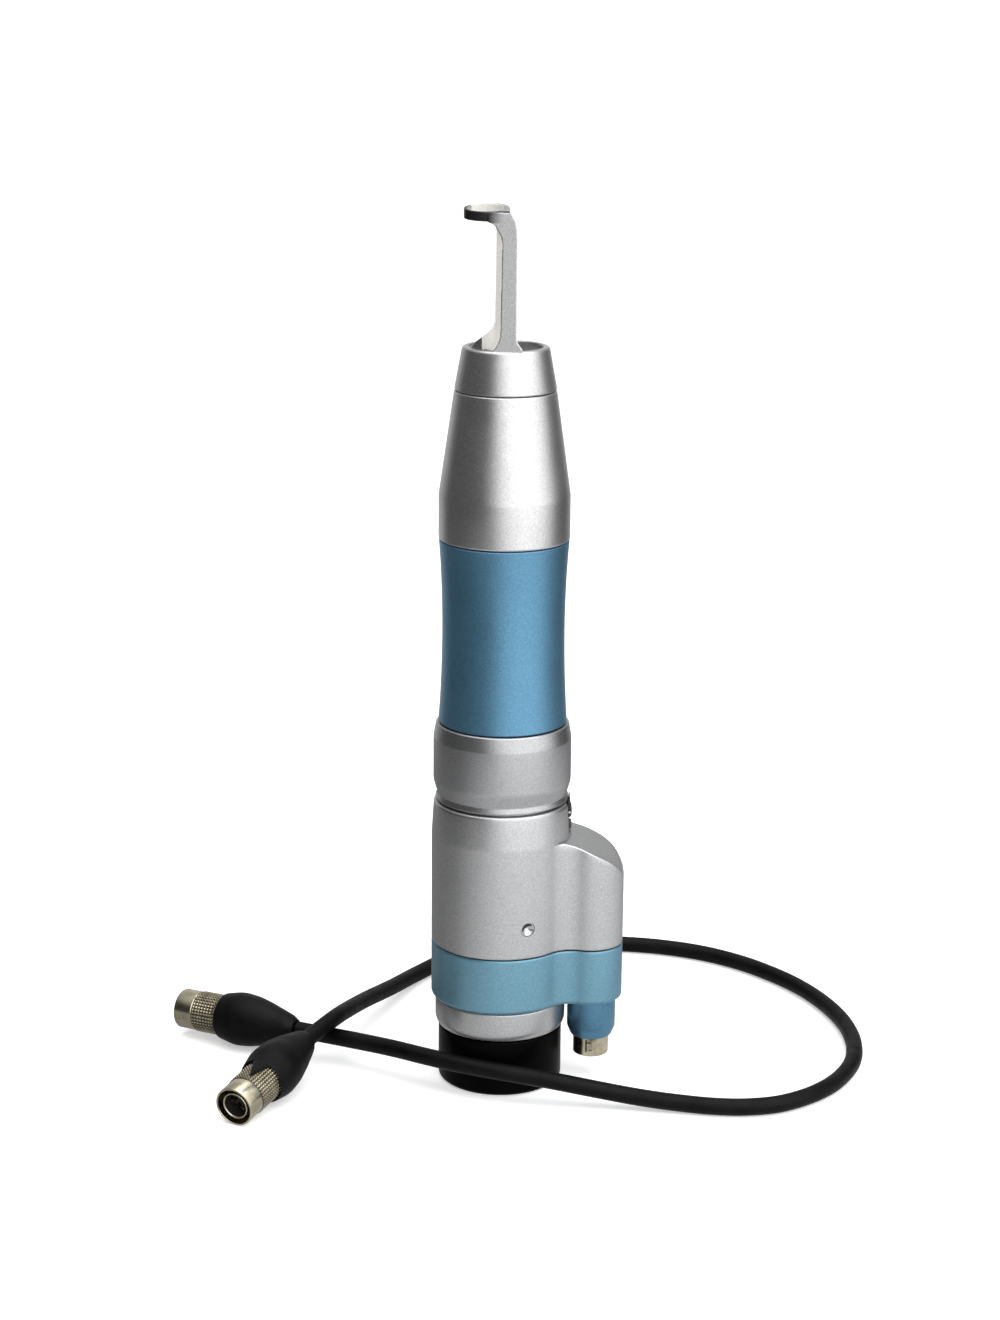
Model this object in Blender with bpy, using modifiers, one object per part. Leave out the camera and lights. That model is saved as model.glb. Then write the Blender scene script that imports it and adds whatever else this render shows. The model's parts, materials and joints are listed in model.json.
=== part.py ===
"""Laser handpiece: swivelling front section with a distance tip, scanner drive pod and loose control lead.

The beam runs up the Z axis, from the coupling at the bottom to the ring of the distance tip at the top.
The origin is the centre of the dust cap's flat bottom, on which the handpiece stands.
The drive pod is on the +X side. Dimensions are in millimetres; MM turns them into metres.
"""

import math

import bmesh
import bpy
from mathutils import Matrix, Vector

MM = 0.001
GAP = 0.3
MERGE = 0.000001

# How finely the round pieces are divided.
BODY_SIDES = 36
INNER_SIDES = 24
SMALL_SIDES = 16
TINY_SIDES = 8

# Heights of the joints between the outer pieces, from the bottom up.
CAP_TOP = 15.8
COUPLING_TOP = 24.1
COVER_TOP = 40.05
HOUSING_TOP = 80.2
COLLAR_TOP = 102.0
GRIP_TOP = 151.9
CONE_TOP = 191.6
MOUTH_TOP = 203.2

# Outer radii.
CAP_RADIUS = 16.95
COUPLING_RADIUS = 17.85
HOUSING_RADIUS = 19.0
COLLAR_RADIUS = 18.6
GRIP_END_RADIUS = 17.3
GRIP_WAIST_RADIUS = 16.35
GRIP_WAIST_HEIGHT = 128.0
CONE_RADIUS = 17.43
CONE_SHOULDER = 164.0
NOSE_RADIUS = 13.5
MOUTH_RADIUS = 11.6

# Bores and inner fits.
HOUSING_BORE = 17.3
COUPLING_SPIGOT = 14.5
COUPLING_BORE = 8.0
COLLAR_SPIGOT = 16.9
COLLAR_BORE = 14.9
BARREL_RADIUS = 14.6
BARREL_BORE = 12.6
CONE_BORE = 11.5
TIP_SPIGOT = 11.2
MOUTH_BORE = 9.65

# The drive pod: a lobe with two rounded corners, blended into the housing by fillets.
POD_CORNER = (24.4, 2.3)
POD_CORNER_RADIUS = 9.0
POD_FILLET = 8.0
POD_WALL = 1.6
POD_CROWN = (16.9, 53.2)
POD_CROWN_RADIUS = 17.5
POD_POCKET_TOP = 60.5

# Scanner drive.
TOOTH_MODULE = 0.8
GEAR_TEETH = 40
PINION_TEETH = 16
GEAR_LOW = 55.8
GEAR_HIGH = 59.6
MOTOR_AXIS = TOOTH_MODULE * (GEAR_TEETH + PINION_TEETH) / 2
MOTOR_RADIUS = 6.0
MOTOR_LOW = 31.0
MOTOR_HIGH = 53.0
BRACKET_HIGH = 54.5
MOTOR_SCREW_SPREAD = 4.0
HOLDER_RADIUS = 11.0
BUSH_RADIUS = 12.6

# Connector under the pod.
SOCKET_AXIS = 25.2
SOCKET_BOTTOM = 6.8
SHELL_RADIUS = 4.9
SHELL_BORE = 4.1
BOSS_RADIUS = 6.65
BOSS_BOTTOM = 12.3
CONTACTS = 6
CONTACT_CIRCLE = 2.1

# Release lever beside the swivel joint.
LEVER_PIVOT = (18.35, 77.0)
LEVER_WIDTH = 5.0
LEVER_SLOT_WIDTH = 5.8
LEVER_SLOT_BOTTOM = 71.6
LEVER_PIN_RADIUS = 0.4

# Set screw in the housing wall, right of the front.
SCREW_AZIMUTH = math.radians(-67.4)
SCREW_HEIGHT = 48.7
SCREW_RADIUS = 1.75

# Distance tip.
RING_CENTRE = (-5.6, -5.3, 238.0)
RING_HALF = (5.5, 5.6)
RING_HOLE_CENTRE = (0.0, 0.45)
RING_HOLE_HALF = (4.5, 4.2)
RING_ROUNDNESS = 2.6
RING_HEIGHT = 2.5
RING_TILT = math.radians(7.5)
STRIP_OUTLINE = [(-1.5, -10.8), (2.8, -11.15), (2.4, -9.0), (-3.1, -8.7)]

# Control lead: two plugs, each given by its face centre and a point on its axis, and the cord's route.
PLUG_LENGTH = 38.0
PLUG_FACES = {"a": (-90.6, 27.4, 7.2), "b": (-70.3, -38.0, 5.6)}
PLUG_AIMS = {"a": (-58.1, 10.0, 8.2), "b": (-52.6, -3.0, 11.2)}
CORD_RADIUS = 2.35
CORD_SPACING = 11.0
CORD_ROUTE = [
    (-47.5, 5.9, 7.95), (-38.8, 0.6, 8.5), (-29.5, -5.2, 9.0), (-20.5, -11.2, 9.3),
    (-10.5, -16.9, 9.4), (0.0, -20.4, 8.9), (11.0, -22.0, 7.7), (22.0, -22.9, 5.9),
    (32.0, -23.8, 4.3), (41.0, -24.9, 3.2), (50.0, -26.2, 2.6), (58.0, -27.4, 2.4),
    (66.5, -27.6, 2.4), (75.5, -25.4, 2.4), (84.0, -19.8, 2.4), (91.0, -12.2, 2.4),
    (95.9, -3.6, 2.4), (99.0, 5.0, 2.4), (100.4, 13.8, 2.4), (100.6, 22.5, 2.4),
    (99.7, 31.4, 2.4), (97.6, 40.6, 2.4), (94.3, 50.0, 2.4), (89.6, 59.6, 2.4),
    (83.0, 69.2, 2.4), (74.0, 79.0, 2.4), (63.0, 87.0, 2.4), (50.5, 92.2, 2.4),
    (37.0, 94.8, 2.4), (22.0, 95.2, 2.4), (7.0, 92.6, 2.4), (-6.5, 86.8, 2.4),
    (-17.5, 77.8, 2.5), (-25.6, 65.2, 3.1), (-32.2, 48.9, 5.4), (-38.9, 30.4, 8.9),
    (-43.7, 13.6, 12.2), (-46.9, 4.9, 13.05),
]

# Colour, roughness and metallic value of each finish.
FINISHES = {
    "satin_aluminium": ((0.60, 0.60, 0.60), 0.38, 0.9),
    "blue_anodised": ((0.09, 0.32, 0.50), 0.40, 0.8),
    "black_plastic": ((0.012, 0.012, 0.014), 0.30, 0.0),
    "black_rubber": ((0.015, 0.014, 0.014), 0.62, 0.0),
    "nickel": ((0.62, 0.59, 0.52), 0.25, 1.0),
    "steel": ((0.55, 0.55, 0.56), 0.30, 1.0),
    "brass": ((0.72, 0.55, 0.25), 0.28, 1.0),
    "bronze_bush": ((0.45, 0.30, 0.15), 0.45, 0.9),
    "amber_optic": ((0.80, 0.38, 0.06), 0.08, 0.0),
    "clear_optic": ((0.85, 0.92, 0.95), 0.04, 0.0),
    "board_green": ((0.02, 0.20, 0.08), 0.50, 0.0),
    "insulator": ((0.03, 0.03, 0.03), 0.45, 0.0),
}


def clear_scene():
    for old in list(bpy.data.objects):
        bpy.data.objects.remove(old, do_unlink=True)


def new_collection(name):
    collection = bpy.data.collections.new(name)
    bpy.context.scene.collection.children.link(collection)
    return collection


def finish(name):
    """The Principled material of one finish, made the first time that it is asked for."""
    if name in bpy.data.materials:
        return bpy.data.materials[name]
    colour, roughness, metallic = FINISHES[name]
    material = bpy.data.materials.new(name)
    material.use_nodes = True
    shader = material.node_tree.nodes["Principled BSDF"]
    shader.inputs["Base Color"].default_value = (*colour, 1.0)
    shader.inputs["Roughness"].default_value = roughness
    shader.inputs["Metallic"].default_value = metallic
    return material


def place(name, mesh, finish_name, location=(0.0, 0.0, 0.0), frame=None):
    """Link a mesh as a part, or as a cutter when it has no finish."""
    obj = bpy.data.objects.new(name, mesh)
    if finish_name:
        mesh.materials.append(finish(finish_name))
        PARTS.objects.link(obj)
    else:
        obj.hide_render = True
        obj.display_type = "WIRE"
        CUTTERS.objects.link(obj)
    obj.location = Vector(location) * MM
    if frame:
        obj.matrix_world = frame
    return obj


def turned(name, profile, finish_name, sides, location=(0.0, 0.0, 0.0), frame=None):
    """A body turned about Z from (radius, height) points that run down the outer side.

    A profile that starts and ends on the axis is a solid; any other is closed into a ring.
    """
    mesh = bpy.data.meshes.new(name)
    bm = bmesh.new()
    verts = [bm.verts.new((radius * MM, 0.0, height * MM)) for radius, height in profile]
    for lower, upper in zip(verts, verts[1:]):
        bm.edges.new((lower, upper))
    if profile[0][0] > 0.0:
        bm.edges.new((verts[-1], verts[0]))
    bm.to_mesh(mesh)
    bm.free()
    obj = place(name, mesh, finish_name, location, frame)
    screw = obj.modifiers.new("turn", "SCREW")
    screw.axis = "Z"
    screw.angle = math.tau
    screw.steps = sides
    screw.render_steps = sides
    screw.use_merge_vertices = True
    screw.merge_threshold = MERGE
    screw.use_smooth_shade = True
    return obj


def ring(name, inner, outer, low, high, finish_name, sides, location=(0.0, 0.0, 0.0), frame=None):
    profile = [(outer, high), (outer, low), (inner, low), (inner, high)]
    return turned(name, profile, finish_name, sides, location, frame)


def rod(name, radius, low, high, finish_name, sides, location=(0.0, 0.0, 0.0), frame=None):
    profile = [(0.0, high), (radius, high), (radius, low), (0.0, low)]
    return turned(name, profile, finish_name, sides, location, frame)


def prism(name, outline, low, high, finish_name, location=(0.0, 0.0, 0.0), upright=False):
    """A flat outline carried from low to high: along Z, or along Y when it stands upright in XZ."""
    mesh = bpy.data.meshes.new(name)
    bm = bmesh.new()
    if upright:
        corners = [(x, low, z) for x, z in outline]
        travel = Vector((0.0, high - low, 0.0))
    else:
        corners = [(x, y, low) for x, y in outline]
        travel = Vector((0.0, 0.0, high - low))
    face = bm.faces.new([bm.verts.new(Vector(corner) * MM) for corner in corners])
    swept = bmesh.ops.extrude_face_region(bm, geom=[face])["geom"]
    moved = [item for item in swept if isinstance(item, bmesh.types.BMVert)]
    bmesh.ops.translate(bm, verts=moved, vec=travel * MM)
    bmesh.ops.recalc_face_normals(bm, faces=bm.faces)
    bm.to_mesh(mesh)
    bm.free()
    return place(name, mesh, finish_name, location)


def box_outline(low_x, low_y, high_x, high_y):
    return [(low_x, low_y), (high_x, low_y), (high_x, high_y), (low_x, high_y)]


def combine(obj, other, operation):
    modifier = obj.modifiers.new(other.name, "BOOLEAN")
    modifier.operation = operation
    modifier.solver = "EXACT"
    modifier.object = other


def cut(obj, *cutters):
    for cutter in cutters:
        combine(obj, cutter, "DIFFERENCE")


def fuse(obj, *others):
    for other in others:
        combine(obj, other, "UNION")


def arc(centre, radius, start, end, steps):
    """Points along an arc; the angles are in radians and either end may be the larger."""
    points = []
    for step in range(steps + 1):
        angle = start + (end - start) * step / steps
        points.append((centre[0] + radius * math.cos(angle), centre[1] + radius * math.sin(angle)))
    return points


def rounded_loop(centre, half):
    """A closed outline between an ellipse and a rectangle, anticlockwise."""
    points = []
    for step in range(INNER_SIDES):
        angle = math.tau * step / INNER_SIDES
        along = math.copysign(abs(math.cos(angle)) ** (2 / RING_ROUNDNESS), math.cos(angle))
        aside = math.copysign(abs(math.sin(angle)) ** (2 / RING_ROUNDNESS), math.sin(angle))
        points.append((centre[0] + half[0] * along, centre[1] + half[1] * aside))
    return points


def meeting_point(distance_origin, centre, distance_centre):
    """The point above the X axis at these distances from the origin and from another centre."""
    span = math.hypot(*centre)
    along = (distance_origin**2 - distance_centre**2 + span**2) / (2 * span)
    aside = math.sqrt(distance_origin**2 - along**2)
    unit = (centre[0] / span, centre[1] / span)
    return (along * unit[0] - aside * unit[1], along * unit[1] + aside * unit[0])


def pod_half_outline():
    """The pod's outline above the X axis, from its flat side round to the housing wall."""
    fillet = meeting_point(HOUSING_RADIUS + POD_FILLET, POD_CORNER, POD_CORNER_RADIUS + POD_FILLET)
    toward_fillet = math.atan2(fillet[1] - POD_CORNER[1], fillet[0] - POD_CORNER[0])
    toward_axis = math.atan2(-fillet[1], -fillet[0])
    corner = arc(POD_CORNER, POD_CORNER_RADIUS, 0.0, toward_fillet, 8)
    blend = arc(fillet, POD_FILLET, toward_fillet - math.pi, toward_axis, 7)
    return corner + blend[1:]


def mirrored(points):
    return [(x, -y) for x, y in reversed(points)]


def pod_outline():
    half = pod_half_outline()
    foot = (half[-1][0] - 3.0, half[-1][1] - 3.0)
    return half + [foot, (foot[0], -foot[1])] + mirrored(half)


def cover_outline():
    half = pod_half_outline()
    start = math.atan2(half[-1][1], half[-1][0])
    round_the_back = arc((0.0, 0.0), HOUSING_RADIUS, start, math.tau - start, 32)
    return half + round_the_back[1:-1] + mirrored(half)


def pocket_outline(shrink):
    """The hollow inside the pod, open toward the beam axis."""
    radius = POD_CORNER_RADIUS - POD_WALL - shrink
    upper = arc(POD_CORNER, radius, 0.0, math.pi / 2, 6)
    back = (15.2 + shrink, POD_CORNER[1] + radius - 0.8)
    return upper + [back, (back[0], -back[1])] + mirrored(upper)


def gear_outline(teeth, addendum, dedendum, turn):
    pitch = TOOTH_MODULE * teeth / 2
    step = math.tau / teeth
    points = []
    for tooth in range(teeth):
        centre = tooth * step + turn
        for radius, shift in ((-dedendum, -0.30), (addendum, -0.14), (addendum, 0.14), (-dedendum, 0.30)):
            angle = centre + shift * step
            points.append(((pitch + radius) * math.cos(angle), (pitch + radius) * math.sin(angle)))
    return points


def grip_radius(height):
    """A shallow waist: the radius grows with the square of the distance from it."""
    end = COLLAR_TOP if height < GRIP_WAIST_HEIGHT else GRIP_TOP
    rise = GRIP_END_RADIUS - GRIP_WAIST_RADIUS
    return GRIP_WAIST_RADIUS + rise * ((height - GRIP_WAIST_HEIGHT) / (end - GRIP_WAIST_HEIGHT)) ** 2


def frame_along(start, aim):
    """A frame at start whose Z axis points at aim and whose X axis is level."""
    z_axis = (Vector(aim) - Vector(start)).normalized()
    x_axis = Vector((0.0, 0.0, 1.0)).cross(z_axis).normalized()
    y_axis = z_axis.cross(x_axis)
    rotation = Matrix((x_axis, y_axis, z_axis)).transposed()
    return Matrix.Translation(Vector(start) * MM) @ rotation.to_4x4()


def contact_places():
    return arc((0.0, 0.0), CONTACT_CIRCLE, 0.0, math.tau * (CONTACTS - 1) / CONTACTS, CONTACTS - 1)


def rod_group(name, places, radius, low, high, frame):
    """Several parallel rods in one cutter or guide."""
    mesh = bpy.data.meshes.new(name)
    bm = bmesh.new()
    for x, y in places:
        middle = Matrix.Translation(Vector((x, y, (low + high) / 2)) * MM)
        bmesh.ops.create_cone(bm, cap_ends=True, segments=TINY_SIDES, radius1=radius * MM,
                              radius2=radius * MM, depth=(high - low) * MM, matrix=middle)
    bm.to_mesh(mesh)
    bm.free()
    return place(name, mesh, None, frame=frame)


def contact_set(prefix, frame, face, back, radius):
    """An insulator with through holes, and the contacts that stand in them on one solder header."""
    insert = rod(prefix + "_insert", radius, face, back, "insulator", SMALL_SIDES, frame=frame)
    cut(insert, rod_group(prefix + "_hole_cutter", contact_places(), 0.68, face - 1, back + 1, frame))
    low = back + GAP
    contacts = rod(prefix + "_contacts", radius - 0.6, low, back + 1.0, "brass", SMALL_SIDES, frame=frame)
    fuse(contacts, rod_group(prefix + "_pin_guide", contact_places(), 0.36, face - 1.6, back + 0.6, frame))


def make_dust_cap():
    profile = [
        (0.0, 1.8), (14.7, 1.8), (14.7, CAP_TOP), (16.6, CAP_TOP), (CAP_RADIUS, CAP_TOP - 0.35),
        (CAP_RADIUS, 0.8), (16.2, 0.0), (0.0, 0.0),
    ]
    turned("dust_cap", profile, "black_plastic", BODY_SIDES)


def make_arm_coupling():
    profile = [
        (COUPLING_SPIGOT, 44.2), (COUPLING_SPIGOT, COUPLING_TOP), (COUPLING_RADIUS, COUPLING_TOP),
        (COUPLING_RADIUS, 19.2), (CAP_RADIUS, CAP_TOP + GAP), (14.4, CAP_TOP + GAP), (14.4, 3.0),
        (COUPLING_BORE, 3.0), (COUPLING_BORE, 44.2),
    ]
    turned("arm_coupling", profile, "satin_aluminium", BODY_SIDES)


def make_bottom_cover():
    low = COUPLING_TOP + GAP
    cover = prism("bottom_cover", cover_outline(), low, COVER_TOP, "blue_anodised")
    cavity = rod("cover_cavity_cutter", HOUSING_BORE, low + 1.6, COVER_TOP + 1, None, BODY_SIDES)
    pocket = prism("cover_pocket_cutter", pocket_outline(0.0), low + 1.6, COVER_TOP + 1, None)
    bore = rod("cover_bore_cutter", COUPLING_SPIGOT + GAP, low - 1, low + 3, None, BODY_SIDES)
    socket = rod("cover_socket_cutter", SHELL_RADIUS + GAP, low - 1, low + 3, None, SMALL_SIDES,
                 (SOCKET_AXIS, 0.0, 0.0))
    cut(cover, cavity, pocket, bore, socket)


def make_rear_housing():
    low = COVER_TOP + GAP
    profile = [
        (18.2, HOUSING_TOP), (18.6, 78.0), (18.9, 75.0), (HOUSING_RADIUS, 72.0), (HOUSING_RADIUS, low),
        (COUPLING_SPIGOT + GAP, low), (COUPLING_SPIGOT + GAP, 44.5), (HOUSING_BORE, 44.5),
        (HOUSING_BORE, HOUSING_TOP),
    ]
    housing = turned("rear_housing", profile, "satin_aluminium", BODY_SIDES)
    pod = prism("pod_body_guide", pod_outline(), low, 72.0, None)
    crown = arc(POD_CROWN, POD_CROWN_RADIUS, math.radians(90), math.radians(8), 12)
    above = crown + [(40.0, crown[-1][1]), (40.0, 80.0), (5.0, 80.0), (5.0, crown[0][1])]
    cut(pod, prism("pod_crown_cutter", above, -16.0, 16.0, None, upright=True))
    bore = rod("housing_bore_cutter", HOUSING_BORE, 44.5, HOUSING_TOP + 1, None, BODY_SIDES)
    neck = rod("housing_neck_cutter", COUPLING_SPIGOT + GAP, low - 1, 50.0, None, BODY_SIDES)
    pocket = prism("housing_pocket_cutter", pocket_outline(0.0), low - 1, POD_POCKET_TOP, None)
    half = LEVER_SLOT_WIDTH / 2
    slot = prism("lever_slot_cutter", box_outline(15.0, -half, 22.0, half), LEVER_SLOT_BOTTOM, 82.0, None)
    screw_hole = rod("screw_hole_cutter", SCREW_RADIUS + GAP, -3.0, 3.0, None, SMALL_SIDES,
                     frame=screw_frame())
    fuse(housing, pod)
    cut(housing, bore, neck, pocket, slot, screw_hole)


def screw_frame():
    outward = Vector((math.cos(SCREW_AZIMUTH), math.sin(SCREW_AZIMUTH), 0.0))
    seat = outward * 17.6 + Vector((0.0, 0.0, SCREW_HEIGHT))
    return frame_along(seat, seat + outward)


def make_set_screw():
    profile = [(0.0, 0.25), (1.35, 1.15), (SCREW_RADIUS, 1.15), (SCREW_RADIUS, -0.1), (0.0, -0.1)]
    turned("set_screw", profile, "steel", SMALL_SIDES, frame=screw_frame())


def make_release_lever():
    pivot = (LEVER_PIVOT[0], 0.0, LEVER_PIVOT[1])
    half = LEVER_WIDTH / 2
    outline = [
        (-0.1, -4.6), (0.9, -4.6), (1.15, -3.0), (0.75, -1.4), (0.9, 0.0), (0.75, 3.2), (1.0, 5.9),
        (-0.35, 6.2), (-0.45, 5.0), (0.1, 4.4), (0.0, 1.6), (-0.9, 0.8), (-0.9, -0.8), (-0.15, -1.8),
    ]
    lever = prism("release_lever", outline, -half, half, "steel", pivot, upright=True)
    across = frame_along((LEVER_PIVOT[0], -3.8, LEVER_PIVOT[1]), (LEVER_PIVOT[0], 0.0, LEVER_PIVOT[1]))
    eye = rod("lever_eye_cutter", LEVER_PIN_RADIUS + 0.12, -1.0, 9.0, None, TINY_SIDES, frame=across)
    cut(lever, eye)
    rod("lever_pin", LEVER_PIN_RADIUS, 1.0, 6.6, "steel", TINY_SIDES, frame=across)


def make_scanner():
    """The turning wedge, its gear and the plates and bushes that carry it."""
    relief = rod("motor_relief_cutter", MOTOR_RADIUS + GAP, MOTOR_LOW, MOTOR_HIGH, None, SMALL_SIDES,
                 (MOTOR_AXIS, 0.0, 0.0))
    for end, low in (("rear", 46.5), ("front", 64.0)):
        ring(end + "_bush", HOLDER_RADIUS + 0.15, BUSH_RADIUS, low, low + 3, "bronze_bush", INNER_SIDES)
        plate = ring(end + "_bearing_plate", BUSH_RADIUS + 0.2, 17.0, low, low + 3, "satin_aluminium",
                     BODY_SIDES)
        if end == "rear":
            cut(plate, relief)
    holder = [
        (HOLDER_RADIUS, 67.7), (HOLDER_RADIUS, 45.0), (8.2, 45.0), (8.2, 52.8), (9.2, 52.8), (9.2, 67.7),
    ]
    turned("wedge_holder", holder, "satin_aluminium", INNER_SIDES)
    gear = prism("ring_gear", gear_outline(GEAR_TEETH, 0.65, 0.9, 0.0), GEAR_LOW, GEAR_HIGH, "brass")
    cut(gear, rod("gear_bore_cutter", HOLDER_RADIUS + GAP, GEAR_LOW - 1, GEAR_HIGH + 1, None, INNER_SIDES))
    prism_body = rod("wedge_prism", 8.9, 53.1, 58.0, "amber_optic", INNER_SIDES)
    slope = [(-10.0, 57.2), (10.0, 55.4), (10.0, 60.0), (-10.0, 60.0)]
    cut(prism_body, prism("wedge_slope_cutter", slope, -10.0, 10.0, None, upright=True))
    ring("wedge_retainer", 7.6, 8.9, 58.3, 60.3, "black_plastic", INNER_SIDES)


def make_drive():
    """The motor in the pod, with its bracket, screws, shaft and pinion."""
    axis = (MOTOR_AXIS, 0.0, 0.0)
    frame = Matrix.Translation(Vector(axis) * MM)
    spots = [(0.0, MOTOR_SCREW_SPREAD), (0.0, -MOTOR_SCREW_SPREAD)]
    motor = rod("drive_motor", MOTOR_RADIUS, MOTOR_LOW, MOTOR_HIGH, "steel", SMALL_SIDES + 4, axis)
    tapped = rod_group("motor_screw_cutter", spots, 1.0, 50.0, BRACKET_HIGH + 1, frame)
    cut(motor, tapped)
    bracket = prism("motor_bracket", pocket_outline(GAP), MOTOR_HIGH + GAP, BRACKET_HIGH, "satin_aluminium")
    boss = rod("shaft_clearance_cutter", 2.2, MOTOR_HIGH, BRACKET_HIGH + 1, None, SMALL_SIDES, axis)
    cut(bracket, tapped, boss)
    head = BRACKET_HIGH + GAP
    screw = [(0.0, 55.4), (1.3, 55.4), (1.3, head), (0.7, head), (0.7, 50.4), (0.0, 50.4)]
    for number, (x, y) in enumerate(spots, 1):
        turned(f"motor_screw_{number}", screw, "steel", TINY_SIDES, (MOTOR_AXIS + x, y, 0.0))
    rod("motor_shaft", 0.9, MOTOR_HIGH + GAP, 60.0, "steel", TINY_SIDES, axis)
    half_tooth = math.pi / PINION_TEETH
    teeth = gear_outline(PINION_TEETH, 0.65, 0.95, half_tooth)
    pinion = prism("drive_pinion", teeth, GEAR_LOW + 0.2, GEAR_HIGH - 0.2, "brass", axis)
    cut(pinion, rod("pinion_bore_cutter", 1.2, GEAR_LOW - 1, GEAR_HIGH + 1, None, TINY_SIDES, axis))


def make_socket():
    """The connector boss, its shell, insulator and contacts, and the board above them."""
    axis = (SOCKET_AXIS, 0.0, 0.0)
    boss = [
        (BOSS_RADIUS, COUPLING_TOP), (BOSS_RADIUS, 14.7), (5.7, BOSS_BOTTOM),
        (SHELL_RADIUS + GAP, BOSS_BOTTOM), (SHELL_RADIUS + GAP, COUPLING_TOP),
    ]
    turned("connector_boss", boss, "blue_anodised", INNER_SIDES, axis)
    ring("connector_shell", SHELL_BORE, SHELL_RADIUS, SOCKET_BOTTOM, 27.0, "nickel", SMALL_SIDES + 4, axis)
    frame = Matrix.Translation(Vector(axis) * MM)
    contact_set("connector", frame, SOCKET_BOTTOM + 3.8, 26.4, SHELL_BORE - GAP)
    board = box_outline(18.6, -6.4, 29.5, 6.4)
    prism("control_board", board, 27.8, 28.8, "board_green")
    prism("motor_lead_plug", box_outline(20.0, -2.6, 25.4, 2.6), 29.0, 30.6, "insulator")


def make_front_section():
    collar = [
        (17.9, COLLAR_TOP), (COLLAR_RADIUS, 98.0), (COLLAR_RADIUS, 86.2), (17.55, 82.6),
        (18.0, HOUSING_TOP + 0.4), (COLLAR_SPIGOT, HOUSING_TOP + 0.4),
        (COLLAR_SPIGOT, 70.6), (15.5, 70.6), (15.5, 68.9), (COLLAR_SPIGOT, 68.9), (COLLAR_SPIGOT, 68.0),
        (COLLAR_BORE, 68.0), (COLLAR_BORE, COLLAR_TOP),
    ]
    turned("swivel_collar", collar, "satin_aluminium", BODY_SIDES)
    seal = arc((16.4, 69.75), 0.7, math.pi, -math.pi * 3 / 4, 7)
    turned("swivel_o_ring", seal, "black_rubber", INNER_SIDES)
    ring("inner_barrel", BARREL_BORE, BARREL_RADIUS, 68.3, 168.0, "satin_aluminium", INNER_SIDES)
    low = COLLAR_TOP + GAP
    heights = [GRIP_TOP - (GRIP_TOP - low) * step / 8 for step in range(9)]
    sleeve = [(grip_radius(height), height) for height in heights]
    turned("grip_sleeve", sleeve + [(15.0, low), (15.0, GRIP_TOP)], "blue_anodised", BODY_SIDES)
    low = GRIP_TOP + GAP
    cone = [
        (NOSE_RADIUS, CONE_TOP), (CONE_RADIUS, CONE_SHOULDER), (CONE_RADIUS, low), (15.0, low),
        (15.0, 168.3), (CONE_BORE, 176.0), (CONE_BORE, CONE_TOP),
    ]
    turned("nose_cone", cone, "satin_aluminium", BODY_SIDES)


def make_optics():
    cell = [(12.3, 162.0), (12.3, 150.0), (8.6, 150.0), (8.6, 151.5), (9.6, 151.5), (9.6, 162.0)]
    turned("lens_cell", cell, "black_plastic", INNER_SIDES)
    lens = [(0.0, 155.6), (5.0, 155.2), (9.3, 153.9), (9.3, 152.9), (5.0, 152.1), (0.0, 151.8)]
    turned("focus_lens", lens, "amber_optic", INNER_SIDES)
    ring("lens_retainer", 8.3, 9.3, 155.9, 157.9, "satin_aluminium", INNER_SIDES)
    window_cell = [
        (TIP_SPIGOT, 181.2), (TIP_SPIGOT, 176.8), (8.2, 176.8), (8.2, 178.0), (9.4, 178.0), (9.4, 181.2),
    ]
    turned("window_cell", window_cell, "satin_aluminium", INNER_SIDES)
    rod("protective_window", 9.1, 178.3, 180.3, "clear_optic", INNER_SIDES)
    seal = arc((8.75, 180.95), 0.3, math.pi, -math.pi * 2 / 3, 5)
    turned("window_o_ring", seal, "black_rubber", INNER_SIDES)


def make_distance_tip():
    profile = [
        (11.3, MOUTH_TOP), (MOUTH_RADIUS, MOUTH_TOP - 0.4), (13.45, CONE_TOP + GAP),
        (TIP_SPIGOT, CONE_TOP + GAP), (TIP_SPIGOT, 182.2), (MOUTH_BORE, 182.2),
        (MOUTH_BORE, MOUTH_TOP - 0.4), (9.95, MOUTH_TOP),
    ]
    tip = turned("distance_tip", profile, "satin_aluminium", BODY_SIDES)
    strip = prism("tip_strip_guide", STRIP_OUTLINE, MOUTH_TOP - 3.3, RING_CENTRE[2] + 0.2, None)
    tilt = Matrix.Translation(Vector(RING_CENTRE) * MM) @ Matrix.Rotation(RING_TILT, 4, "X")
    half = RING_HEIGHT / 2
    loop = prism("target_ring_guide", rounded_loop((0.0, 0.0), RING_HALF), -half, half, None)
    hole = prism("target_hole_cutter", rounded_loop(RING_HOLE_CENTRE, RING_HOLE_HALF), -half - 1, half + 1, None)
    loop.matrix_world = tilt
    hole.matrix_world = tilt
    fuse(tip, strip, loop)
    cut(tip, hole)


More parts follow.
